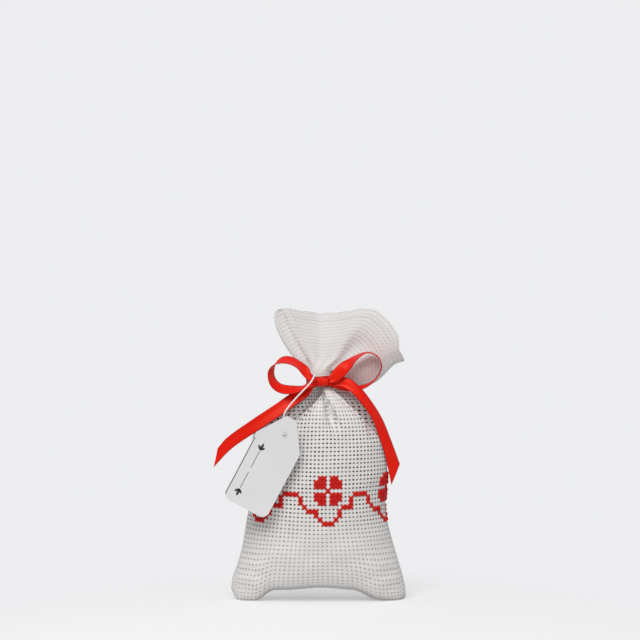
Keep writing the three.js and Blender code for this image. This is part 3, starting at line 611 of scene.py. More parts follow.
def evenweave_material():
    material, tree, shader = new_material("white_evenweave")
    cells, across, up = read_map(tree, "cells")
    above_seam = number(tree, "ADD", up, border_length / ROW_PITCH)
    above_tie = number(tree, "SUBTRACT", up, (pouch_length - border_length) / ROW_PITCH)
    from_middle = number(tree, "PINGPONG", across, CELLS_ROUND / 4)
    from_panel = number(tree, "ABSOLUTE", number(tree, "SUBTRACT", across, PANEL_CELL))
    # Painted shade: along the foot, where the cloth turns under, it is painted darker, with a darker line
    # over the seam's arch; the holes there close
    seam_closing_and_shade = times(tree, ramp(tree, above_seam, 4, 8, 1, 0), ramp(tree, from_middle, 9, 15, 1, 0))
    above_foot = number(tree, "SUBTRACT", above_seam, ramp(tree, from_middle, 11, 16, 4, 3.2))
    painted_foot_shade = times(tree, ramp(tree, above_foot, 0, 2.2, 1, 0), ramp(tree, from_middle, 17.5, 20, 1, 0.1))
    # Painted light: the panel under the knot is painted lighter, and its holes close
    knot_closing_and_light = times(tree, ramp(tree, above_tie, -16, -4, 0, 0.6), ramp(tree, from_panel, 5, 9, 1, 0))
    in_mouth = ramp(tree, above_tie, -1, 2)
    # Painted light: the mouth's cloth next to the tie is painted lighter
    painted_light_by_tie = ramp(tree, above_tie, 2, 12, 0.7, 0)
    from_column = number(tree, "PINGPONG", across, 0.5)
    from_row = number(tree, "PINGPONG", up, 0.5)
    column_square = number(tree, "POWER", from_column, 2)
    row_square = number(tree, "POWER", times(tree, from_row, 1.25), 2)
    from_hole = number(tree, "SQRT", number(tree, "ADD", column_square, row_square))
    from_hole = times(tree, from_hole, ramp(tree, up, -8, 3, 1.2, 1))
    hole = ramp(tree, from_hole, 0.2, 0.35, 1, 0)
    own = tree.nodes.new("ShaderNodeCombineXYZ")
    feed(tree, own.inputs["X"], number(tree, "ROUND", across))
    feed(tree, own.inputs["Y"], number(tree, "ROUND", up))
    chance = tree.nodes.new("ShaderNodeTexWhiteNoise")
    chance.noise_dimensions = "2D"
    feed(tree, chance.inputs["Vector"], own.outputs["Vector"])
    depth = times(tree, ramp(tree, chance.outputs["Value"], 0, 1, 0.7, 1), ramp(tree, up, -8, 5, 0.48, 1))
    for closed in (seam_closing_and_shade, knot_closing_and_light):
        depth = times(tree, depth, number(tree, "SUBTRACT", 1, closed))
    threads_up = number(tree, "PINGPONG", times(tree, across, 4), 0.5)
    threads_across = number(tree, "PINGPONG", times(tree, up, 4), 0.5)
    corner = number(tree, "ADD", number(tree, "FLOOR", across), number(tree, "FLOOR", up))
    checker = number(tree, "ABSOLUTE", number(tree, "MODULO", corner, 2))
    other = number(tree, "SUBTRACT", 1, checker)
    threads = number(tree, "ADD", times(tree, threads_up, checker), times(tree, threads_across, other))
    row_lines = ramp(tree, from_row, 0.04, 0.3, 0.42, 0)
    lines = number(tree, "MAXIMUM", row_lines, ramp(tree, from_column, 0.04, 0.3, 0.3, 0))
    yarn = blend(tree, noise(tree, cells, 0.35, 3), (0.725, 0.7, 0.68, 1), (0.805, 0.785, 0.77, 1))
    yarn = blend(tree, times(tree, lines, 0.35), yarn, (0.4, 0.385, 0.375, 1))
    # Painted shade along the foot and in a dark line over the seam
    yarn = blend(tree, seam_closing_and_shade, yarn, (0.68, 0.66, 0.645, 1))
    yarn = blend(tree, painted_foot_shade, yarn, (0.42, 0.405, 0.395, 1))
    # Painted light on the panel under the knot
    yarn = blend(tree, knot_closing_and_light, yarn, (0.96, 0.945, 0.93, 1))
    mouth_yarn = blend(tree, lines, (0.8, 0.775, 0.76, 1), (0.52, 0.5, 0.485, 1))
    # Painted light in the mouth next to the tie
    mouth_yarn = blend(tree, painted_light_by_tie, mouth_yarn, (0.93, 0.9, 0.885, 1))
    yarn = blend(tree, in_mouth, yarn, mouth_yarn)
    dim = blend(tree, ramp(tree, threads, 0, 0.5, 0.3, 0), yarn, (0.5, 0.485, 0.475, 1))
    pit = blend(tree, in_mouth, (0.016, 0.015, 0.016, 1), mouth_yarn)
    feed(tree, shader.inputs["Base Color"], blend(tree, times(tree, hole, depth), dim, pit))
    add_bump(tree, shader, number(tree, "SUBTRACT", times(tree, threads, 0.5), hole), 0.5, 0.0003)
    shader.inputs["Roughness"].default_value = 0.92
    shader.inputs["Specular IOR Level"].default_value = 0.15
    shader.inputs["Sheen Weight"].default_value = 0.12
    shader.inputs["Sheen Roughness"].default_value = 0.5
    return material


bare_cloth = add_lumps(lay_cloth())
cloth_outward = cloth_normals(bare_cloth)


def on_cloth(grid, column, row):
    columns = grid.shape[1]
    across = (column + CELLS_ROUND / 2) * STEPS_PER_CELL
    up = first_border_row + row * STEPS_PER_CELL
    left, low = int(math.floor(across)), int(math.floor(up))
    right_share, high_share = across - left, up - low
    near = mix(grid[low, left % columns], grid[low, (left + 1) % columns], right_share)
    far = mix(grid[low + 1, left % columns], grid[low + 1, (left + 1) % columns], right_share)
    return mix(near, far, high_share)


# Pleats: near the tie the gathered cloth laps over its three front folds. Each starts on the cloth
# beside its fold, given in degrees, and reaches over it by a few millimetres
PLEATS = [
    {"fold": FOLDS[0], "root": 5.5, "reach": 3, "from": 0.6, "to": 0.88},
    {"fold": FOLDS[1], "root": 4.4, "reach": 1.5, "from": 0.58, "to": 0.97},
    {"fold": FOLDS[2], "root": -6, "reach": 3, "from": 0.62, "to": 0.965},
]
PLEAT_ALONG = 48
PLEAT_ACROSS = 5
PLEAT_OPEN_AT = 0.7
PLEAT_NARROWING = 0.75
PLEAT_TUCK = 0.15
PLEAT_LIFT, PLEAT_CURL = 0.95, 0.4
FRONT_STEPS = 360


def cell_at(angle):
    cells = np.linspace(-CELLS_ROUND / 4, CELLS_ROUND / 4, FRONT_STEPS + 1)
    turns = angle_of_cell(cells)
    turns = np.where(turns > math.pi, turns - 2 * math.pi, turns)
    return np.interp(angle, turns, cells) - BORDER_SHIFT_CELLS + 0.5


def pleat_grid(pleat):
    away = math.copysign(1, pleat["root"])
    points, cells = [], []
    for along in np.linspace(0, 1, PLEAT_ALONG + 1):
        share = mix(pleat["from"], pleat["to"], along)
        degrees = read_pairs(pleat["fold"]["line"], share) + pleat["root"]
        column = float(cell_at(math.radians(degrees)))
        row = (np.interp(1 + share, front_levels, front_length) - border_length) / ROW_PITCH
        root = on_cloth(bare_cloth, column, row)
        outward = on_cloth(cloth_outward, column, row)
        beside = root - on_cloth(bare_cloth, column + away, row)
        pitch = np.linalg.norm(beside)
        opened = math.sin(math.pi / 2 * min(along / PLEAT_OPEN_AT, 1))
        reach = pleat["reach"] * opened * (1 - PLEAT_NARROWING * along)
        for over in np.linspace(0, 1, PLEAT_ACROSS + 1):
            lift = PLEAT_LIFT * over - PLEAT_CURL * over**2 - PLEAT_TUCK
            points.append(root + beside / pitch * reach * over + outward * lift)
            cells.append((column - away * over * reach / pitch, row))
    return points, cells


def make_bag():
    cloth = add_weave_relief(bare_cloth)
    points = cloth.reshape(-1, 3).tolist()
    faces = ring_faces(*cloth.shape[:2])
    cells = []
    for low, high in zip(row_cell[:-1], row_cell[1:]):
        for left, right in zip(column_cell[:-1], column_cell[1:]):
            cells += [(left, low), (right, low), (right, high), (left, high)]
    for pleat in PLEATS:
        first = len(points)
        pleat_points, pleat_cells = pleat_grid(pleat)
        points += pleat_points
        for along in range(PLEAT_ALONG):
            for over in range(PLEAT_ACROSS):
                low = along * (PLEAT_ACROSS + 1) + over
                high = low + PLEAT_ACROSS + 1
                corners = (low, high, high + 1, low + 1)
                if pleat["root"] < 0:
                    corners = corners[::-1]
                faces.append(tuple(first + corner for corner in corners))
                cells += [pleat_cells[corner] for corner in corners]
    bag = mesh_object("evenweave_bag", points, faces, evenweave_material())
    set_map(bag, "cells", cells)
    skin = bag.modifiers.new("thickness", "SOLIDIFY")
    skin.thickness = CLOTH_THICKNESS * MM
    skin.offset = -1
    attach(bag, "bag")
    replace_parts(bag, "bag_pouch", "bag_mouth")


make_bag()


# The filling: a heap of dried lavender buds that fills the bag up to its shoulders.
# It lies loose inside, just under the cloth, with a low dome at its top.
FILLING_GAP = 2.2
FILLING_TOP = 79
FILLING_BOTTOM = 11
DOME_HEIGHT = 3
DOME_RINGS = (0.8, 0.55, 0.3)
BUD_SIZE = 0.9
BUD_WAVES = np.array([[1.9, 2.3, 1.7], [-1.3, 1.1, 2.6]])
HEAP_REACH = 60


def lavender_material():
    material, tree, shader = new_material("dried_lavender")
    buds = tree.nodes.new("ShaderNodeTexVoronoi")
    feed(tree, buds.inputs["Scale"], 380)
    feed(tree, buds.inputs["Vector"], place_on_piece(tree))
    colour = blend(tree, buds.outputs["Color"], (0.10, 0.075, 0.16, 1), (0.27, 0.23, 0.36, 1))
    feed(tree, shader.inputs["Base Color"], colour)
    bump = add_bump(tree, shader, buds.outputs["Distance"], 1, 0.0008)
    bump.invert = True
    shader.inputs["Roughness"].default_value = 0.95
    return material


def make_filling():
    inner = bare_cloth - cloth_outward * FILLING_GAP
    heights = bare_cloth[:, bare_cloth.shape[1] // 2, 2]
    inside = [row for row in range(len(inner)) if FILLING_BOTTOM < heights[row] < FILLING_TOP]
    rings = [inner[row, ::2] for row in inside[::2]]
    top = rings[-1]
    for share in DOME_RINGS:
        rings.append(mix(top.mean(axis=0), top, share) + np.array([0, 0, DOME_HEIGHT * (1 - share**2)]))
    points = np.concatenate(rings)
    lump = BUD_SIZE / 2 * np.abs(np.prod(np.sin(points @ BUD_WAVES.T), axis=1))
    points = points * (1 - lump[:, None] / HEAP_REACH)
    faces = tube_faces(len(rings), len(top))
    heap = mesh_object("lavender_heap", points, faces, lavender_material())
    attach(heap, "bag")
    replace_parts(heap, "lavender_filling")


make_filling()


# The embroidery: cross stitches in red stranded cotton, one over each cell of the cloth.
# A wavy line runs round the bag, with a four-petalled clover over each of its five dips.
FLOSS_HALF_WIDTH = 0.6
FLOSS_HALF_HEIGHT = 0.36
FLOSS_END_WIDTH = 0.62
FLOSS_STEPS = 8
FLOSS_SIDES = 8
LEG_INSET = 0.03
LEG_SINK = 0.12
UNDER_LEG_RISE = 0.3
OVER_LEG_RISE = 0.62
REPEATS = 5
PERIOD = CELLS_ROUND // REPEATS
PETAL_CELLS = (1, 2, 3)
TROUGH_ROW = 8
WAVE = {
    8: (-1, 0, 1), 7: (2, 16), 6: (3, 15), 5: (3, 13, 14, 15), 4: (4, 5, 6, 12),
    3: (6, 11), 2: (6, 11), 1: (7, 8, 9, 10),
}


def clover_cells():
    cells = [(0, 0)]
    outer_corner = (PETAL_CELLS[-1], PETAL_CELLS[-1])
    for side in (-1, 1):
        for end in (-1, 1):
            for column in PETAL_CELLS:
                for row in PETAL_CELLS:
                    if (column, row) != outer_corner:
                        cells.append((side * column, end * row))
    return cells


def wave_cells():
    return [(column, row) for row, columns in WAVE.items() for column in columns]


STRAND_TWIST = 2.2
STRAND_HALF_WIDTH = 0.125


def floss_material():
    material, tree, shader = new_material("red_stranded_cotton")
    along, around = read_map(tree, "strands")[1:]
    twisted = number(tree, "MULTIPLY_ADD", along, STRAND_TWIST, around)
    strand = number(tree, "PINGPONG", twisted, STRAND_HALF_WIDTH)
    height = number(tree, "DIVIDE", strand, STRAND_HALF_WIDTH)
    # Painted shade and highlight: each strand is painted darker where it dips beside the next one and
    # lighter on its crown
    colour = blend(tree, height, (0.4, 0.003, 0.002, 1), (0.8, 0.012, 0.006, 1))
    feed(tree, shader.inputs["Base Color"], colour)
    add_bump(tree, shader, height, 0.6, 0.0001)
    shader.inputs["Roughness"].default_value = 0.6
    shader.inputs["Specular IOR Level"].default_value = 0.2
    shader.inputs["Sheen Weight"].default_value = 0.03
    return material


def leg_points(start, end, rise):
    points = []
    stations = []
    for share in np.linspace(0, 1, FLOSS_STEPS + 1):
        column, row = mix(np.array(start), np.array(end), mix(LEG_INSET, 1 - LEG_INSET, share))
        outward = on_cloth(cloth_outward, column, row)
        arch = math.sin(math.pi * share) ** 0.6
        place = on_cloth(bare_cloth, column, row) + outward * (rise * arch - LEG_SINK)
        stations.append((place, outward, arch))
    for step, (place, outward, arch) in enumerate(stations):
        before = stations[max(step - 1, 0)][0]
        after = stations[min(step + 1, FLOSS_STEPS)][0]
        along = unit(after - before)
        across = unit(np.cross(along, outward))
        up = np.cross(across, along)
        half_width = FLOSS_HALF_WIDTH * mix(FLOSS_END_WIDTH, 1, arch)
        for side in range(FLOSS_SIDES):
            turn = 2 * math.pi * side / FLOSS_SIDES
            wide, tall = half_width * math.cos(turn), FLOSS_HALF_HEIGHT * math.sin(turn)
            points.append(place + across * wide + up * tall)
    return points


# The strands' map of one leg: along it and round it, with its two end faces left at zero
def leg_strands():
    strands = []
    for step in range(FLOSS_STEPS):
        near, far = step / FLOSS_STEPS, (step + 1) / FLOSS_STEPS
        for side in range(FLOSS_SIDES):
            one, two = side / FLOSS_SIDES, (side + 1) / FLOSS_SIDES
            strands += [(near, one), (near, two), (far, two), (far, one)]
    return strands + [(0, 0)] * (2 * FLOSS_SIDES)


def make_stitches(name, cells, node, material):
    points = []
    faces = []
    for column, row in cells:
        left, right = column, column + 1
        high = TROUGH_ROW - row
        low = high - 1
        legs = [((left, low), (right, high), UNDER_LEG_RISE), ((left, high), (right, low), OVER_LEG_RISE)]
        for start, end, rise in legs:
            faces += tube_faces(FLOSS_STEPS + 1, FLOSS_SIDES, len(points))
            points += leg_points(start, end, rise)
    stitches = mesh_object(name, points, faces, material)
    set_map(stitches, "strands", leg_strands() * (2 * len(cells)))
    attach(stitches, "bag")
    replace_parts(stitches, node)


red_floss = floss_material()
shifts = [repeat * PERIOD for repeat in range(REPEATS)]
border = [(column + shift, row) for shift in shifts for column, row in wave_cells()]
make_stitches("border_stitches", border, "stitched_border", red_floss)
for place, shift in enumerate(shifts, 1):
    clover = [(column + shift, row) for column, row in clover_cells()]
    make_stitches(f"clover_stitches_{place}", clover, f"stitched_clover_{place}", red_floss)


# The ribbon: one length of 6 mm red satin. It is wound once round the neck, where its width is
# crushed into folds, and tied in front in a bow with two loops and two tails.
RIBBON_WIDTH = 6
RIBBON_THICKNESS = 0.3
RIBBON_ACROSS = 10
RIBBON_ALONG = 150
RIBBON_CUP = 0.25
MOST_CRUSHED = 0.7
CRUSHED_FOLD_DEPTH = 0.75
BOW = np.array([1.8, -9.1, 100.7])
WRAP_HEIGHT = 4.6
WRAP_GROW = 1.15
WRAP_COLUMNS = 96
WRAP_ACROSS = 16
WRAP_FOLD_DEPTH = 0.28
WRAP_SLANT = 0.35
WRAP_TUCK = 0.3


def satin_material():
    material, tree, shader = new_material("red_satin")
    lie, across, along = read_map(tree, "ribbon")
    stretch = tree.nodes.new("ShaderNodeMapping")
    feed(tree, stretch.inputs["Vector"], lie)
    feed(tree, stretch.inputs["Scale"], (26, 0.35, 1))
    streak = noise(tree, stretch.outputs["Vector"], 1.4)
    middle = blend(tree, streak, (0.7, 0.007, 0.002, 1), (0.84, 0.011, 0.003, 1))
    off_selvedge = ramp(tree, number(tree, "PINGPONG", across, 0.5), 0.03, 0.075)
    feed(tree, shader.inputs["Base Color"], blend(tree, off_selvedge, (0.5, 0.006, 0.004, 1), middle))
    add_bump(tree, shader, number(tree, "PINGPONG", along, 0.09), 0.25, 0.00005)
    shader.inputs["Roughness"].default_value = 0.4
    shader.inputs["Specular IOR Level"].default_value = 0.45
    shader.inputs["Specular Tint"].default_value = (1, 0.36, 0.24, 1)
    shader.inputs["Anisotropic"].default_value = 0.5
    shader.inputs["Sheen Weight"].default_value = 0.03
    return material


red_satin = satin_material()


# A strip of ribbon over a grid of middle points, closed round its edges
def strip_piece(name, middle, outward, joined=False):
    along, across = middle.shape[:2]
    lift = outward * RIBBON_THICKNESS / 2
    points = np.concatenate([(middle + lift).reshape(-1, 3), (middle - lift).reshape(-1, 3)])
    under = along * across
    middle_line = middle[:, across // 2]
    length = length_along(np.concatenate([middle_line, middle_line[:1]]))
    share = np.arange(across) / (across - 1)
    faces = []
    lie = []

    def add(corners, places, turned=False):
        faces.append(tuple(corners[::-1] if turned else corners))
        lie.extend(places[::-1] if turned else places)

    for row in range(along if joined else along - 1):
        here, there = row * across, (row + 1) % along * across
        near, far = length[row], length[row + 1]
        for column in range(across - 1):
            left, right = share[column], share[column + 1]
            corners = [here + column, here + column + 1, there + column + 1, there + column]
            places = [(left, near), (right, near), (right, far), (left, far)]
            add(corners, places)
            add([under + corner for corner in corners], places, turned=True)
        for column, turned in ((0, False), (across - 1, True)):
            edge = share[column]
            corners = [here + column, there + column, under + there + column, under + here + column]
            add(corners, [(edge, near), (edge, far), (edge, far), (edge, near)], turned)
    if not joined:
        for row, turned in ((0, True), (along - 1, False)):
            for column in range(across - 1):
                left, right = row * across + column, row * across + column + 1
                one, two = (share[column], length[row]), (share[column + 1], length[row])
                add([left, right, under + right, under + left], [one, two, two, one], turned)
    strip = mesh_object(name, points, faces, red_satin)
    set_map(strip, "ribbon", lie)
    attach(strip, "bag")
    return strip


# A smooth line through points, with as many steps between each pair
def smooth_line(points, count):
    points = np.asarray(points, float)
    padded = np.concatenate([[2 * points[0] - points[1]], points, [2 * points[-1] - points[-2]]])
    line = []
    for place in np.linspace(0, len(points) - 1, count):
        span = min(int(place), len(points) - 2)
        share = place - span
        p0, p1, p2, p3 = padded[span:span + 4]
        pairs = ((p0, p1), (p1, p2), (p2, p3))
        gap0, gap1, gap2 = (max(np.linalg.norm(b - a) ** 0.5, 1e-4) for a, b in pairs)
        leave = ((p1 - p0) / gap0 - (p2 - p0) / (gap0 + gap1) + (p2 - p1) / gap1) * gap1
        arrive = ((p2 - p1) / gap1 - (p3 - p1) / (gap1 + gap2) + (p3 - p2) / gap2) * gap1
        square, cube = share**2, share**3
        line.append((2 * cube - 3 * square + 1) * p1 + (cube - 2 * square + share) * leave
                    + (-2 * cube + 3 * square) * p2 + (cube - square) * arrive)
    return np.array(line)


# A ribbon between two edges; where it is narrower than it was cut, its width stands in folds
def ribbon_between(name, first_edge, second_edge):
    first = smooth_line(first_edge, RIBBON_ALONG)
    second = smooth_line(second_edge, RIBBON_ALONG)
    centre = (first + second) / 2
    across = second - first
    face = unit(np.cross(np.gradient(centre, axis=0), across))
    share = np.linspace(0, 1, RIBBON_ACROSS + 1)
    spare = np.clip(1 - np.linalg.norm(across, axis=1) / RIBBON_WIDTH, 0, MOST_CRUSHED)[:, None]
    cup = RIBBON_CUP * (1 - (2 * share - 1) ** 2) * (1 - spare)
    folds = CRUSHED_FOLD_DEPTH * spare * np.cos(3 * math.pi * share)
    middle = first[:, None] + across[:, None] * share[:, None] + face[:, None] * (cup + folds)[..., None]
    outward = unit(np.cross(np.gradient(middle, axis=0), np.gradient(middle, axis=1)))
    return strip_piece(name, middle, outward), centre


def ribbon_from_line(name, line):
    edges = []
    for sign in (-1, 1):
        edge = []
        for place, across, width in line:
            edge.append(BOW + np.array(place) + sign * unit(np.array(across)) * width / 2)
        edges.append(edge)
    return ribbon_between(name, edges[0], edges[1])[0]


def make_neck_wrap():
    turn = np.linspace(0, 2 * math.pi, WRAP_COLUMNS, endpoint=False)
    share = np.linspace(0, 1, WRAP_ACROSS + 1)
    front = np.array([np.sin(turn), -np.cos(turn)]).T
    half = np.array([NECK_HALF_WIDTH, NECK_HALF_DEPTH])
    folds = WRAP_FOLD_DEPTH * np.cos(6 * math.pi * share)[None] * (1 + 0.3 * np.sin(5 * turn))[:, None]
    slant = WRAP_SLANT * np.sin(2 * turn + 0.5)
    tuck = -WRAP_TUCK * np.abs(2 * share - 1) ** 6
    grow = WRAP_GROW + folds + tuck[None]
    flat = front[:, None] * (half[None, None] + grow[..., None])
    height = BOW[2] + slant[:, None] + WRAP_HEIGHT * (0.5 - share)[None]
    middle = np.concatenate([flat + np.array([NECK_X, 0]), height[..., None]], axis=-1)
    run = np.roll(middle, -1, axis=0) - np.roll(middle, 1, axis=0)
    outward = unit(np.cross(run, np.gradient(middle, axis=1)))
    wrap = strip_piece("ribbon_wrap", middle, outward, joined=True)
    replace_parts(wrap, "ribbon_neck_wrap")


make_neck_wrap()


# The knot: the ribbon drawn once over itself, so that it stands out as a small crumpled roll.
# Its creases run over it from top to bottom, with a deeper tuck at either side.
KNOT_HALF_WIDTH = 2.75
KNOT_HALF_DEPTH = 2.25
KNOT_HALF_HEIGHT = 2.3
KNOT_GIRTH = 14
KNOT_ROUND = 72
KNOT_ALONG = 49
CREASE_DEPTH = 0.11
FINE_CREASE_DEPTH = 0.06
DENT_DEPTH = 0.05
KNOT_TAPER = 0.12
KNOT_SKEW = 0.18


def make_knot():
    turn = np.linspace(0, 2 * math.pi, KNOT_ROUND, endpoint=False)
    rings = []
    for side in np.linspace(-1, 1, KNOT_ALONG):
        swell = (1 - abs(side) ** 3.2) ** (1 / 2.2)
        crease = CREASE_DEPTH * np.cos(7 * side + 0.8 * np.sin(turn + 0.4))
        crease += FINE_CREASE_DEPTH * np.cos(13 * side - 1.3 * np.cos(2 * turn))
        dent = DENT_DEPTH * np.cos(3 * turn + 4 * side)
        radius = swell * (0.9 + crease + dent * swell)
        x = KNOT_HALF_WIDTH * side + KNOT_SKEW * np.sin(2 * turn) * swell
        y = KNOT_HALF_DEPTH * radius * np.sin(turn)
        z = KNOT_HALF_HEIGHT * radius * np.cos(turn) * (1 - KNOT_TAPER * side)
        rings.append(np.stack([x, y, z], axis=-1) + BOW)
    faces = [face[::-1] for face in ring_faces(KNOT_ALONG, KNOT_ROUND)]
    lie = []
    for step in range(KNOT_ALONG - 1):
        left, right = step / KNOT_ALONG, (step + 1) / KNOT_ALONG
        for column in range(KNOT_ROUND):
            near, far = KNOT_GIRTH * column / KNOT_ROUND, KNOT_GIRTH * (column + 1) / KNOT_ROUND
            lie += [(right, near), (right, far), (left, far), (left, near)]
    knot = mesh_object("ribbon_knot", np.concatenate(rings), faces, red_satin)
    set_map(knot, "ribbon", lie)
    weld = knot.modifiers.new("pinched_ends", "WELD")
    weld.merge_threshold = 0.02 * MM
    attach(knot, "bag")
    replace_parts(knot, "bow_knot")


make_knot()


# The bow's loops: the ribbon comes out of the knot crushed, opens to its full width, and turns
# back to the knot. The left loop faces forwards and upwards; the right one twists to stand on edge.
LOOP_ROOT = 3.1
LEFT_LOOP = [
    ((-LOOP_ROOT, -1.8, 1.1), (0, 0.2, 2), 2.3),
    ((-5.3, -1.7, 1.9), (0.2, 0.5, 2), 3.7),
    ((-7.4, -0.6, 4.6), (1.4, 2.4, 3.2), 5.4),
    ((-10.9, 0, 7.9), (1.6, 4.9, 2.7), 6),
    ((-15, 0, 9.9), (0.9, 4.9, 3.2), 6),
    ((-18.7, 0, 10), (1.2, 4.9, 2.8), 6),
    ((-21.8, 0, 8.4), (2, 4.9, 2), 6),
    ((-23.3, 0, 5.6), (2.5, 5.1, 1.2), 6),
    ((-23.4, 0, 2.4), (2.6, 5.1, 1.2), 6),
    ((-22.2, 0, -0.5), (2.8, 4.7, 2), 6),
    ((-20, 0, -2.5), (2.3, 4.5, 3), 6),
    ((-17.3, 0, -3.4), (1.4, 4.4, 3.7), 6),
    ((-13.6, 0, -3.6), (1.1, 4.5, 3.3), 6),
    ((-10, 0.2, -3.2), (2.4, 4.7, 2.85), 6),
    ((-7.2, -0.4, -1.9), (1, 2.2, 2.4), 4.6),
    ((-5.2, -0.8, -0.9), (0.1, 0.3, 2), 3),
    ((-LOOP_ROOT, -0.9, -0.6), (0, 0.1, 2), 2.3),
]
RIGHT_LOOP = [
    ((LOOP_ROOT, -0.9, 0.9), (-0.4, 0.3, 2), 3),
    ((6.1, -1, 3), (-1.6, 0.6, 4.2), 5.4),
    ((9.4, -0.9, 5.9), (-2.4, 1.2, 5.4), 6),
    ((12.6, -0.4, 8.5), (-1, 4.2, 4), 6),
    ((15.6, -0.4, 11.2), (0, 5.5, 2.2), 6),
    ((20.1, -0.6, 13.4), (0, 6, 0.4), 6),
    ((23.6, -0.7, 12.7), (0, 6, 0.3), 6),
    ((25.9, -0.7, 10.5), (0, 6, 0.3), 6),
    ((26.9, -0.5, 7.3), (0, 6, 0.3), 6),
    ((25.9, 0.2, 3.9), (0, 6, 0.3), 6),
    ((23.6, 1.4, 0.6), (0, 5.6, 0.4), 5.6),
    ((19.4, 2.6, -2.1), (0, 5, 1.2), 4.4),
    ((14, 2.9, -3.1), (0, 3, 2), 3.6),
    ((8.5, 2.2, -2.1), (0, 1, 3), 3.2),
    ((LOOP_ROOT, 1.6, -0.8), (0, 0.3, 2), 2.4),
]
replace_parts(ribbon_from_line("bow_left", LEFT_LOOP), "bow_loop_left")
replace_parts(ribbon_from_line("bow_right", RIGHT_LOOP), "bow_loop_right")


# The tails: two free ends of the ribbon, cut on the slant. The left one sticks out to the left over
# the bag's shoulder; the right one arches over and hangs down the bag's right side.
TAIL_STANDOFF = 1.2
FREE_STATIONS = 4
RIGHT_TAIL = [
    ((LOOP_ROOT, -1.8), (LOOP_ROOT, 1.2), (0.4, 0.5)),
    ((6.4, -2), (8, 2.2), (0.5, 1.2)),
    ((9.5, -2.7), (12.4, 1.5), (-0.6, 0.2)),
    ((13, -4.6), (17.4, -2.5), (-2, -0.4)),
    ((17.8, -9.7), (22.2, -8.6), (-3, 0.6)),
    ((23, -17.4), (27.4, -17), (-1.6, 2.4)),
    ((26, -25.4), (31, -25.6), (0.4, 3.4)),
    ((28.8, -34), (33.8, -33), (2.6, 5)),
    ((31.7, -47.3), (35.6, -38), (4.4, 6)),
]
LEFT_TAIL = [
    ((-LOOP_ROOT, -2.1), (-LOOP_ROOT, 0.2), (0, 0)),
    ((-4.3, -2.8), (-4.4, -0.1), (0.3, 0.3)),
    ((-5.7, -5.3), (-6.4, -1.6), (0.9, 1.4)),
    ((-8.2, -7.8), (-9.6, -3), (1.6, 3.2)),
    ((-11.9, -10.3), (-14.8, -5.6), (0.8, 2.4)),
    ((-16.4, -13.4), (-20.2, -9.3), (-1, 0.4)),
    ((-29, -21.8), (-32.2, -17.2), (-2.6, -1.6)),
    ((-41.6, -30.5), (-44, -25.8), (-2, -1.4)),
    ((-49.5, -38.7), (-47.8, -30.2), (-1.6, -1.2)),
]
FRONT_TOP = 0.97
FRONT_DEPTH_POWER = 1.7


# The bag's front without its folds, which the tails lie on
def front_of_bag(x, z):
    share = min(max((z - BELLY_HEIGHT) / (TIE_HEIGHT - BELLY_HEIGHT), 0), 1)
    reach = min(share / FRONT_TOP, 1)
    half_width = mix(NECK_HALF_WIDTH, BELLY_HALF_WIDTH, 1 - reach**SHOULDER_WIDTH_POWER)
    half_depth = mix(NECK_HALF_DEPTH, BELLY_HALF_DEPTH, 1 - reach**FRONT_DEPTH_POWER)
    across = (x - NECK_X * share) / half_width
    return math.inf if abs(across) >= 1 else -half_depth * math.sqrt(1 - across**2)


def make_tail(name, stations, node):
    edges = ([], [])
    for index, (lower, upper, behind) in enumerate(stations):
        for edge, (x, z), wanted in zip(edges, (lower, upper), behind):
            front = front_of_bag(x + BOW[0], z + BOW[2]) - BOW[1] - TAIL_STANDOFF
            y = wanted if index < FREE_STATIONS else min(wanted, front)
            edge.append(BOW + np.array([x, y, z]))
    tail, line = ribbon_between(name, edges[0], edges[1])
    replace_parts(tail, node)


make_tail("tail_left", LEFT_TAIL, "ribbon_tail_left")
make_tail("tail_right", RIGHT_TAIL, "ribbon_tail_right")


# The tag's string: thin two-ply white cotton. A loop of it goes round the root of the left bow loop,
# one run goes down to the tag and through its hole from behind, and a knot stops it in front.
STRING_RADIUS = 0.42
STRING_TURN = 1.9
STRING_SIDES = 12
STRING_STEPS = 90
PLY_DEPTH = 0.18
LOOP_CENTRE = np.array([-1.8, -10.0, 100.7])
LOOP_RADIUS = 3.3
LOOP_FROM, LOOP_TO = 48, 245
LOOP_STEPS = 60
HOLE = np.array([-15.4, -21.8, 78.6])
STRING_START = np.array([-1.8, -12.97, 104.0])
STRING_ROUTE = [
    STRING_START,
    STRING_START + np.array([-1.33, -1.5, -2.7]),
    HOLE + np.array([0, 3.3, 8]),
    HOLE + np.array([0, 1.9, 0]),
    HOLE + np.array([0, -0.15, 0]),
]
KNOT_CENTRE = HOLE + np.array([0, -1.0, 0])
KNOT_STRING_RADIUS = 0.3
KNOT_STEPS = 120
KNOT_WINDS = 2.6
KNOT_REACH, KNOT_REACH_CHANGE = 0.66, 0.18
KNOT_LIFT = 0.33


def cotton_material():
    material, tree, shader = new_material("white_cotton_string")
    fibres = noise(tree, place_on_piece(tree), 2600)
    colour = blend(tree, fibres, (0.74, 0.71, 0.68, 1), (0.9, 0.885, 0.86, 1))
    feed(tree, shader.inputs["Base Color"], colour)
    add_bump(tree, shader, fibres, 0.4, 0.0001)
    shader.inputs["Roughness"].default_value = 0.9
    shader.inputs["Sheen Weight"].default_value = 0.15
    return material


white_cotton = cotton_material()


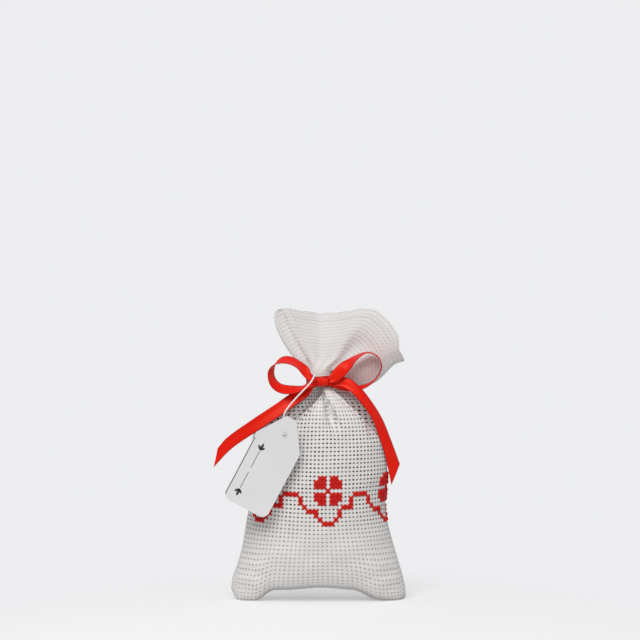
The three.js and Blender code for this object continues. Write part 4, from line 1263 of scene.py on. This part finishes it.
# A tube of two plies twisted round each other along a line
def string_piece(name, line, body, radius=STRING_RADIUS):
    along = unit(np.concatenate([line[1:], line[-1:]]) - np.concatenate([line[:1], line[:-1]]))
    side = np.cross(along[0], [0.3, 0.1, 0.9])
    points = []
    for place, way, length in zip(line, along, length_along(line)):
        side = unit(side - way * np.dot(side, way))
        up = np.cross(way, side)
        twist = 2 * math.pi * length / STRING_TURN
        for corner in range(STRING_SIDES):
            turn = 2 * math.pi * corner / STRING_SIDES
            ply = radius * (1 - PLY_DEPTH + PLY_DEPTH * math.cos(2 * turn - twist))
            points.append(place + side * ply * math.cos(turn) + up * ply * math.sin(turn))
    piece = mesh_object(name, points, tube_faces(len(line), STRING_SIDES), white_cotton)
    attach(piece, body)
    return piece


def make_string():
    turn = np.radians(np.linspace(LOOP_FROM, LOOP_TO, LOOP_STEPS))
    around = np.stack([0 * turn, -np.cos(turn), np.sin(turn)], axis=-1)
    loop = string_piece("string_loop", LOOP_CENTRE + LOOP_RADIUS * around, "string_loop")
    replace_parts(loop, "tag_string_loop")
    line = smooth_line(STRING_ROUTE, STRING_STEPS)
    string = string_piece("string_run", line, "string")
    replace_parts(string, "tag_string")
    share = np.linspace(0, 1, KNOT_STEPS)
    wind = 2 * math.pi * KNOT_WINDS * share
    reach = KNOT_REACH - KNOT_REACH_CHANGE * np.cos(2 * math.pi * share)
    lift = KNOT_LIFT * np.sin(2.1 * math.pi * share + 0.4)
    knot_line = np.stack([reach * np.cos(wind), lift, reach * np.sin(wind)], axis=-1)
    knot = string_piece("string_knot", knot_line + KNOT_CENTRE, "tag", KNOT_STRING_RADIUS)
    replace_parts(knot, "tag_string_knot")


make_string()


# The tag: white card with cut shoulders, rounded lower corners and a punched hole, printed in black
# with a rule down one side and a divider of two sprigs and two lines. Places on it are given across
# and up from its hole.
TAG_LEAN = 28
TAG_FACE = -0.3
PRINT_FROM, PRINT_TO = 0.005, 0.03
RULE_TOP, RULE_END = (-10.45, -7.9), (-10.4, -36.6)
RULE_HALF_WIDTH = 0.17
DIVIDER_ACROSS = -5.75
DIVIDER_LINES = ((-12.6, -20.9), (-23.2, -31.2))
DIVIDER_HALF_WIDTH = 0.13
SPRIG_ACROSS = -5.8
SPRIGS = ((-10.6, 1), (-33.2, -1))
LEAF_STEPS = 8


def card_material():
    material, tree, shader = new_material("white_card")
    place = place_on_piece(tree)
    colour = blend(tree, noise(tree, place, 60), (0.67, 0.66, 0.665, 1), (0.73, 0.72, 0.725, 1))
    feed(tree, shader.inputs["Base Color"], colour)
    add_bump(tree, shader, noise(tree, place, 900, 6), 0.12, 0.0001)
    shader.inputs["Roughness"].default_value = 0.8
    shader.inputs["Specular IOR Level"].default_value = 0.3
    return material


def ink_material():
    material, tree, shader = new_material("black_ink")
    wear = noise(tree, place_on_piece(tree), 1500)
    colour = blend(tree, wear, (0.012, 0.012, 0.013, 1), (0.05, 0.05, 0.055, 1))
    feed(tree, shader.inputs["Base Color"], colour)
    shader.inputs["Roughness"].default_value = 0.6
    return material


def on_card(across, up, lift):
    turn = math.radians(TAG_LEAN)
    x = across * math.cos(turn) + up * math.sin(turn)
    z = -across * math.sin(turn) + up * math.cos(turn)
    return HOLE + np.array([x, TAG_FACE - lift, z])


def leaf_outline(start, end, half_width):
    start, end = np.array(start), np.array(end)
    along = end - start
    across = unit(np.array([-along[1], along[0]]))
    share = np.linspace(0, 1, LEAF_STEPS + 1)
    swell = half_width * np.sin(math.pi * share) ** 0.8
    near = [start + along * s + across * w for s, w in zip(share, swell)]
    far = [start + along * s - across * w for s, w in zip(share[1:-1], swell[1:-1])]
    return near + far[::-1]


def bar_outline(start, end, half_width):
    start, end = np.array(start), np.array(end)
    along = unit(end - start)
    across = np.array([-along[1], along[0]]) * half_width
    return [start + across, end + across, end - across, start - across]


def sprig_outlines(up, way):
    stem = SPRIG_ACROSS
    return [
        leaf_outline((stem, up - 1.7 * way), (stem + 0.2, up + 2.0 * way), 0.62),
        leaf_outline((stem, up - 1.5 * way), (stem - 1.7, up + 0.5 * way), 0.5),
        leaf_outline((stem, up - 1.5 * way), (stem + 1.7, up + 0.3 * way), 0.5),
    ]


def make_print():
    shapes = [bar_outline(RULE_TOP, RULE_END, RULE_HALF_WIDTH)]
    for top, end in DIVIDER_LINES:
        shapes.append(bar_outline((DIVIDER_ACROSS, top), (DIVIDER_ACROSS, end), DIVIDER_HALF_WIDTH))
    for up, way in SPRIGS:
        shapes += sprig_outlines(up, way)
    points = []
    faces = []
    for outline in shapes:
        area = sum(a[0] * b[1] - b[0] * a[1] for a, b in zip(outline, outline[1:] + outline[:1]))
        outline = outline if area > 0 else outline[::-1]
        faces += tube_faces(2, len(outline), len(points))
        for lift in (PRINT_FROM, PRINT_TO):
            points += [on_card(across, up, lift) for across, up in outline]
    printed = mesh_object("tag_print", points, faces, ink_material(), smooth_faces=False)
    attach(printed, "tag")


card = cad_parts["tag_card"]
card.data.materials.clear()
card.data.materials.append(card_material())
make_print()
